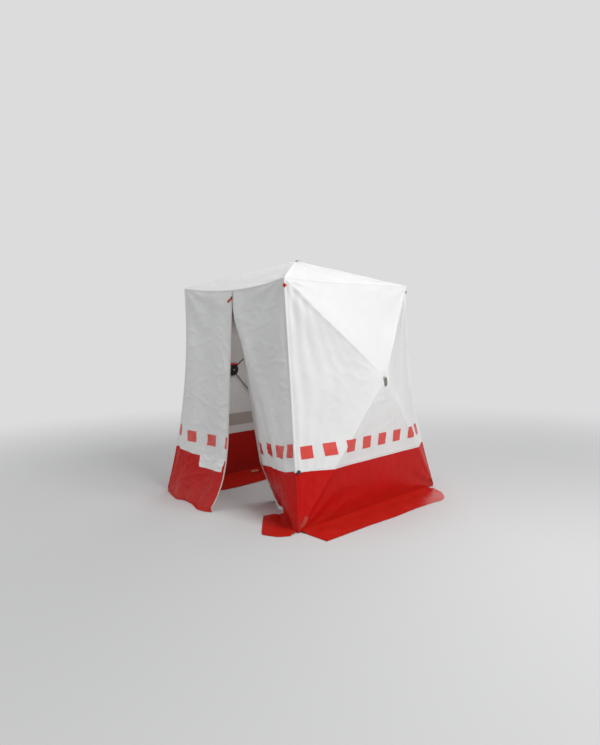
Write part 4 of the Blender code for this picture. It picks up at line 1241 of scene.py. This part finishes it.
class TENT_OT_zip(Operator):
    """Zip tapes and teeth on both panels, slider and red puller"""

    bl_idname = "tent.zip"
    bl_label = "Zip"

    def execute(self, context):
        for door in DOORS:
            rows = []
            for i in range(121):
                v = 0.004 + (0.993 - 0.004) * i / 120
                places = [DOOR_EDGE + TAPE_WIDTH * k for k in (0.0, 0.25, 0.5, 0.75, 1.0)]
                rows.append([(door.point(x, v, 0.0012), (x, door.shut(x, v).z)) for x in places])
            tape = sew(f"{door.name}_zip_tape_cloth", rows, ["zip_tape"], DOOR_FRONT, 0.0016, 40)
            follow_door(tape, door)
            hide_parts(f"{door.name}_zip_tape")
            self.teeth(door, context.scene.tent_sizes.teeth)
        self.slider()
        return {"FINISHED"}

    def teeth(self, door, count):
        """Small bars across the edge of the tape, all in one mesh."""
        verts, faces = [], []
        for n in range(count):
            v = 0.012 + 0.975 * n / (count - 1)
            middle = door.point(DOOR_EDGE + 0.0016, v, TEETH_LIFT)
            ahead = (door.point(DOOR_EDGE + 0.0016, v + 0.002, TEETH_LIFT) - middle).normalized()
            side = (door.point(DOOR_EDGE + 0.006, v, TEETH_LIFT) - middle).normalized()
            out = ahead.cross(side)
            faces += shifted(((0, 3, 2, 1), (4, 5, 6, 7), (0, 1, 5, 4), (1, 2, 6, 5), (2, 3, 7, 6),
                              (3, 0, 4, 7)), len(verts))
            for dz in (-1, 1):
                for dx, dy in ((-1, -1), (1, -1), (1, 1), (-1, 1)):
                    verts.append(middle + side * (dx * TOOTH[0]) + ahead * (dy * TOOTH[1])
                                 + out * (dz * TOOTH[2]))
        made = add_mesh(f"{door.name}_zip_teeth", verts, faces, None, ["teeth"])
        edit(made, face_outwards)
        follow_door(made, door)

    def slider(self):
        """The slider keeps its CAD shape. Its red pull tag is a strip thrown to the left."""
        repaint(frame["nodes"]["zip_slider"], "slider")
        pivot = joint_place("zip_puller_hinge") - Vector((AXIS_X, 0, 0))
        neck, length, slant, steps = 0.014, 0.070, math.radians(60), 26
        path = [pivot + Vector((0, 0, 0.002))]
        for i in range(1, steps + 1):
            turn = slant * smoothstep(0.004, 0.022, length * i / steps)
            path.append(path[-1] + Vector((-math.sin(turn), 0, -math.cos(turn))) * (length / steps))
        rows = []
        for i, p in enumerate(path):
            run = length * i / steps
            ahead = (path[min(i + 1, steps)] - path[max(i - 1, 0)]).normalized()
            side = Vector((ahead.z, 0, -ahead.x))
            half = 0.0036 + 0.0084 * smoothstep(neck * 0.6, neck * 1.7, run)
            half *= 1 - 0.30 * smoothstep(length - 0.006, length, run)
            lift = 0.0012 + 0.0016 * math.sin(math.pi * run / length)
            rows.append([(p + side * (half * k) - Vector((0, lift + 0.0006 * (1 - k * k), 0)),
                          (run, half * k)) for k in (-1, -0.8, 0, 0.8, 1)])
        made = sew("red_pull_tag", rows, ["red_plastic"], DOOR_FRONT, 0.0018, 40)
        follow(made, "zip_puller", "red_plastic")
        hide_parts("zip_puller")


# Small trims


class TENT_OT_trims(Operator):
    """Red tabs at the upper corners, a black button at the band and straps at the feet"""

    bl_idname = "tent.trims"
    bl_label = "Tabs, button and foot straps"

    def execute(self, context):
        self.button()
        for corner in CORNERS:
            name = corner_name(*corner)
            if name != "front_left":
                places = [0.960 + 0.019 * i / 8 for i in range(9)]
                widths = [max(0.12, 1 - abs(i - 4) / 4.2) for i in range(9)]
                # Every tab is red; all but the front right one get the dark grey finish, which is
                # painted shade
                binding(f"{name}_corner_tab", *seam_path(*corner, places), 0.022, TAB_BULGE,
                        "red" if name == "front_right" else "dark_cloth", "red_cloth", widths)
            self.foot_strap(name, corner)
        return {"FINISHED"}

    def button(self):
        """Domed button with a rolled rim, on the right wall just beside the near corner's seam."""
        a, b = RIGHT.flat(seam(1, -1, BAND_SHARE))
        shift = 0.020
        spot = RIGHT.point(a + shift, b)
        normal = (RIGHT.point(a + shift, b + 0.01) - spot).cross(
            RIGHT.point(a + shift * 2, b) - spot).normalized()
        if normal.dot(RIGHT.normal) < 0:
            normal.negate()
        made = turned_part(
            "front_right_button", 36, 0.0165, 0.006, world(spot + normal * 0.0036), normal,
            ((0.0026, -0.0014), (0.0045, 0.0020), (0.0040, 0.0008)), 0.0006, "fitting", 40)
        follow(made, "tent", "fitting_plastic")

    def foot_strap(self, name, corner):
        """Short webbing loop, sewn on slantwise over the foot of the corner."""
        wall = LEFT if corner[0] < 0 else RIGHT
        a0, b0 = wall.flat(seam(*corner, 0.012))
        inward = 1 if a0 < 0 else -1
        length, half, steps = 0.088, 0.0125, 16
        start = Vector((a0 + inward * 0.018, b0 + 0.012))
        run = Vector((inward * 0.62, 0.78)).normalized()
        side = Vector((-run.y, run.x))
        rows = []
        for i in range(steps + 1):
            t = i / steps
            lift = 0.0015 + 0.0085 * math.sin(math.pi * t) ** 1.4
            middle = start + run * (length * t)
            rows.append([(wall.point(*(middle + side * (half * k)), lift), (length * t, half * k))
                         for k in (-1, -0.5, 0, 0.5, 1)])
        made = sew(f"{name}_foot_strap", rows, ["foot_webbing"], wall.normal, 0.0013, 40)
        follow(made, "tent", "webbing")


# Hubs, straps, rods and fittings

SLOT_FINISHES = {"hub_plastic": "hub", "fitting_plastic": "fitting", "washer": "washer",
                 "steel_wire": "steel", "glass_fibre": "rod", "red_plastic": "red_plastic",
                 "webbing": "webbing"}
NUT_DEPTH = 0.0371  # middle of a hub's nut under the outer side of the cloth
TONGUE_PLACE, TONGUE_SIZE = 0.046, (0.032, 0.0122, 0.017)  # a grip's tongue, from the hub's middle


class TENT_OT_hubs(Operator):
    """Pull straps outside, nuts inside, and the finish of hubs, rods and corner fittings"""

    bl_idname = "tent.hubs"
    bl_label = "Hubs, rods and fittings"

    def execute(self, context):
        for part in frame["record"]["subparts"]:
            if part["material_slot"] in SLOT_FINISHES:
                repaint(frame["nodes"][part["node"]], SLOT_FINISHES[part["material_slot"]])
        for face in FACES:
            self.strap(face, context.scene.tent_sizes.strap_length)
            nut = turned_part(f"{face.name}_hub_nut", 6, 0.0115, 0.007,
                              world(face.peak) - face.normal * NUT_DEPTH, -face.normal,
                              ((0.0040, 0.0035),), 0.0007, "steel", 35)
            follow(nut, f"{face.name}_hub", "steel_wire")
            self.grip_ends(face)
        return {"FINISHED"}

    def grip_ends(self, face):
        """The red grip runs out past the hub in two flat rounded tongues."""
        low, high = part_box(f"{face.name}_hub_grip")
        arm = (low + high) / 2 - world(face.peak)
        turn = Matrix((face.across, face.up, face.normal)).transposed().to_4x4()
        tongues = []
        for side in (-1, 1):
            deselect()
            bpy.ops.mesh.primitive_cube_add(size=1)
            tongue = bpy.context.object
            spot = (world(face.peak) + face.across * (side * TONGUE_PLACE)
                    + face.up * (arm.dot(face.up) + 0.001) + face.normal * arm.dot(face.normal))
            tongue.data.transform(
                Matrix.Translation(spot) @ turn @ Matrix.Diagonal((*TONGUE_SIZE, 1)))
            tongue.data.materials.append(FINISH["red_plastic"])
            step = tongue.modifiers.new("edges", "BEVEL")
            step.width, step.segments = 0.0045, 4
            apply_all(tongue)
            tongues.append(tongue)
        alone(tongues[0])
        tongues[1].select_set(True)
        bpy.ops.object.join()
        made = tongues[0]
        made.name = made.data.name = f"{face.name}_grip_tongues"
        shade(made, 40)
        follow(made, f"{face.name}_hub", "red_plastic")

    def strap(self, face, length):
        """Webbing loop round the washer's bar, bent as it hangs."""
        low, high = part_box(f"{face.name}_pull_strap")
        pivot = joint_place(f"{face.name}_strap_hinge")
        if face is ROOF:
            down = ((low + high) / 2 - pivot).normalized()
        else:
            down = Vector((0, 0, -1))
            down = (down - face.across * down.dot(face.across)).normalized()
        out = down.cross(face.across)
        if out.dot(face.normal) < 0:
            out.negate()
        half, steps, bar = 0.0108, 30, 0.0034
        rows = []
        for i in range(steps + 1):
            t = i / steps
            if t < 0.2:
                angle = math.pi * (1.25 - 1.25 * t / 0.2)
                spot = pivot + (out * math.cos(angle) - down * math.sin(angle)) * bar
            else:
                s = (t - 0.2) / 0.8
                bow = 0.0065 * math.sin(math.pi * s) - 0.0015 * s
                spot = pivot + out * (bar + bow) + down * (s * (length - 0.006))
            rows.append([])
            for k in (-1, -0.5, 0, 0.5, 1):
                cup = 0.0012 * (k * k - 0.5) * t
                place = spot + face.across * (half * k) + out * cup - Vector((AXIS_X, 0, 0))
                rows[-1].append((place, (t * length, half * k)))
        made = sew(f"{face.name}_webbing_strap", rows,
                   ["pale_webbing" if face is ROOF else "webbing"], out, 0.0014, 50)
        follow(made, f"{face.name}_strap", "webbing")
        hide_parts(f"{face.name}_pull_strap")


# Stage

BACKGROUND = "#dcdcdc"
# The photo's camera, by the fit of twelve points: turn round the tent from the door in degrees,
# height and distance from the tent's middle in metres, and how it looks past that middle in degrees
CAMERA_TURN, CAMERA_HEIGHT, CAMERA_DISTANCE = 45.8, 1.494, 5.508
CAMERA_YAW, CAMERA_PITCH, CAMERA_ROLL = -0.17, -4.02, -1.0
PHOTO_WIDTH, PHOTO_FOCUS, SENSOR = 600, 584, 36.0  # pixels, pixels and millimetres


class TENT_OT_stage(Operator):
    """Pale floor, soft lamps and the camera at the photograph's angle"""

    bl_idname = "tent.stage"
    bl_label = "Stage"

    def execute(self, context):
        scene = context.scene
        deselect()
        bpy.ops.mesh.primitive_plane_add(size=400, location=(0, 0, -0.0005))
        floor = bpy.context.object
        floor.name = "floor"
        floor.data.materials.append(self.floor_finish())
        self.lamp("key", (5.3, -0.3, 5.2), 3.0, 286)
        self.lamp("fill", (-3.6, -5.6, 3.2), 4.5, 78)
        self.lamp("top", (0.0, 0.0, 6.0), 5.0, 32)
        self.lamp("rear", (-3.5, 5.0, 3.5), 4.0, 90)
        # Daylight that comes through white cloth, which the opaque cloth of the model keeps out
        glow = self.lamp("through_cloth", (AXIS_X, 0.0, 1.45), 0.8, 6.6,
                         Vector((AXIS_X - 0.4, 0.1, 0)))
        glow.visible_camera = False
        scene.world = self.surroundings()
        scene.view_settings.view_transform = "Standard"
        self.camera(scene)
        return {"FINISHED"}

    def floor_finish(self):
        """Painted studio floor, which further out turns into the plain background."""
        made, tree, shader = new_material("pale_floor", roughness=0.85,
                                          base_color=linear("#d2d2d2"))
        spot = add_node(tree, "TexCoord").outputs["Object"]
        away = add_node(tree, "VectorMath", {"operation": "LENGTH"}, {0: spot})
        fade = add_node(tree, "MapRange", {"interpolation_type": "SMOOTHSTEP", "From Min": 1.9,
                                           "From Max": 7.0}, {"Value": away})
        seen = add_node(tree, "LightPath").outputs["Is Camera Ray"]
        share = add_node(tree, "Math", {"operation": "MULTIPLY"}, {0: fade, 1: seen})
        plain = add_node(tree, "Emission", {"Color": linear(BACKGROUND)})
        both = add_node(tree, "MixShader", None, {0: share, 1: shader, 2: plain})
        link_up(tree, tree.nodes["Material Output"], {"Surface": both})
        return made

    def surroundings(self):
        """Soft even light, and the plain background for what the camera sees."""
        made = bpy.data.worlds.new("studio")
        made.use_nodes = True
        tree = made.node_tree
        soft = tree.nodes["Background"]
        soft.inputs["Color"].default_value = linear("#e8eaec")
        soft.inputs["Strength"].default_value = 0.40
        plain = add_node(tree, "Background", {"Color": linear(BACKGROUND)})
        seen = add_node(tree, "LightPath")
        either = seen.outputs["Is Camera Ray"]
        for kind in ("Is Transmission Ray", "Is Glossy Ray"):
            either = add_node(tree, "Math", {"operation": "MAXIMUM"},
                              {0: either, 1: seen.outputs[kind]})
        both = add_node(tree, "MixShader", None, {0: either, 1: soft, 2: plain})
        link_up(tree, tree.nodes["World Output"], {"Surface": both})
        return made

    def lamp(self, name, place, size, power, target=Vector((AXIS_X, 0, 0.9))):
        data = bpy.data.lights.new(name, "AREA")
        data.size, data.energy = size, power
        lamp = bpy.data.objects.new(name, data)
        lamp.location = place
        lamp.rotation_euler = (target - Vector(place)).to_track_quat("-Z", "Y").to_euler()
        bpy.context.scene.collection.objects.link(lamp)
        return lamp

    def camera(self, scene):
        turn, yaw, pitch, roll = (
            math.radians(x) for x in (CAMERA_TURN, CAMERA_YAW, CAMERA_PITCH, CAMERA_ROLL))
        look = Vector((-math.sin(turn + yaw) * math.cos(pitch),
                       math.cos(turn + yaw) * math.cos(pitch), math.sin(pitch)))
        right = look.cross(Vector((0, 0, 1))).normalized()
        up = right.cross(look)
        right, up = (right * math.cos(roll) + up * math.sin(roll),
                     up * math.cos(roll) - right * math.sin(roll))
        data = bpy.data.cameras.new("photo_camera")
        data.sensor_fit = "HORIZONTAL"
        data.sensor_width = SENSOR
        data.lens = PHOTO_FOCUS / PHOTO_WIDTH * SENSOR
        camera = bpy.data.objects.new("photo_camera", data)
        basis = Matrix((right, up, -look)).transposed().to_4x4()
        place = Vector((CAMERA_DISTANCE * math.sin(turn), -CAMERA_DISTANCE * math.cos(turn),
                        CAMERA_HEIGHT))
        camera.matrix_world = Matrix.Translation(world(place)) @ basis
        scene.collection.objects.link(camera)
        scene.camera = camera


class TENT_PT_panel(Panel):
    """Sizes, colours and the pieces in the order they are made"""

    bl_idname = "TENT_PT_panel"
    bl_label = "Welding tent"
    bl_space_type = "VIEW_3D"
    bl_region_type = "UI"
    bl_category = "Tent"

    def draw(self, context):
        for group in (context.scene.tent_sizes, context.scene.tent_colours):
            for key in group.__annotations__:
                self.layout.prop(group, key)
        for made in OPERATORS:
            self.layout.operator(made.bl_idname)


OPERATORS = (TENT_OT_walls, TENT_OT_doors, TENT_OT_flaps, TENT_OT_flap_patch, TENT_OT_seams,
             TENT_OT_bindings, TENT_OT_reflectors, TENT_OT_label, TENT_OT_zip, TENT_OT_trims,
             TENT_OT_hubs, TENT_OT_stage)
CLASSES = (TentColours, TentSizes, *OPERATORS, TENT_PT_panel)


def register():
    for made in CLASSES:
        bpy.utils.register_class(made)
    bpy.types.Scene.tent_colours = PointerProperty(type=TentColours)
    bpy.types.Scene.tent_sizes = PointerProperty(type=TentSizes)


def unregister():
    del bpy.types.Scene.tent_colours
    del bpy.types.Scene.tent_sizes
    for made in reversed(CLASSES):
        bpy.utils.unregister_class(made)


def main():
    register()
    make_finishes(bpy.context.scene.tent_colours)
    for made in OPERATORS:
        group, name = made.bl_idname.split(".")
        getattr(getattr(bpy.ops, group), name)()


if __name__ == "__main__":
    main()
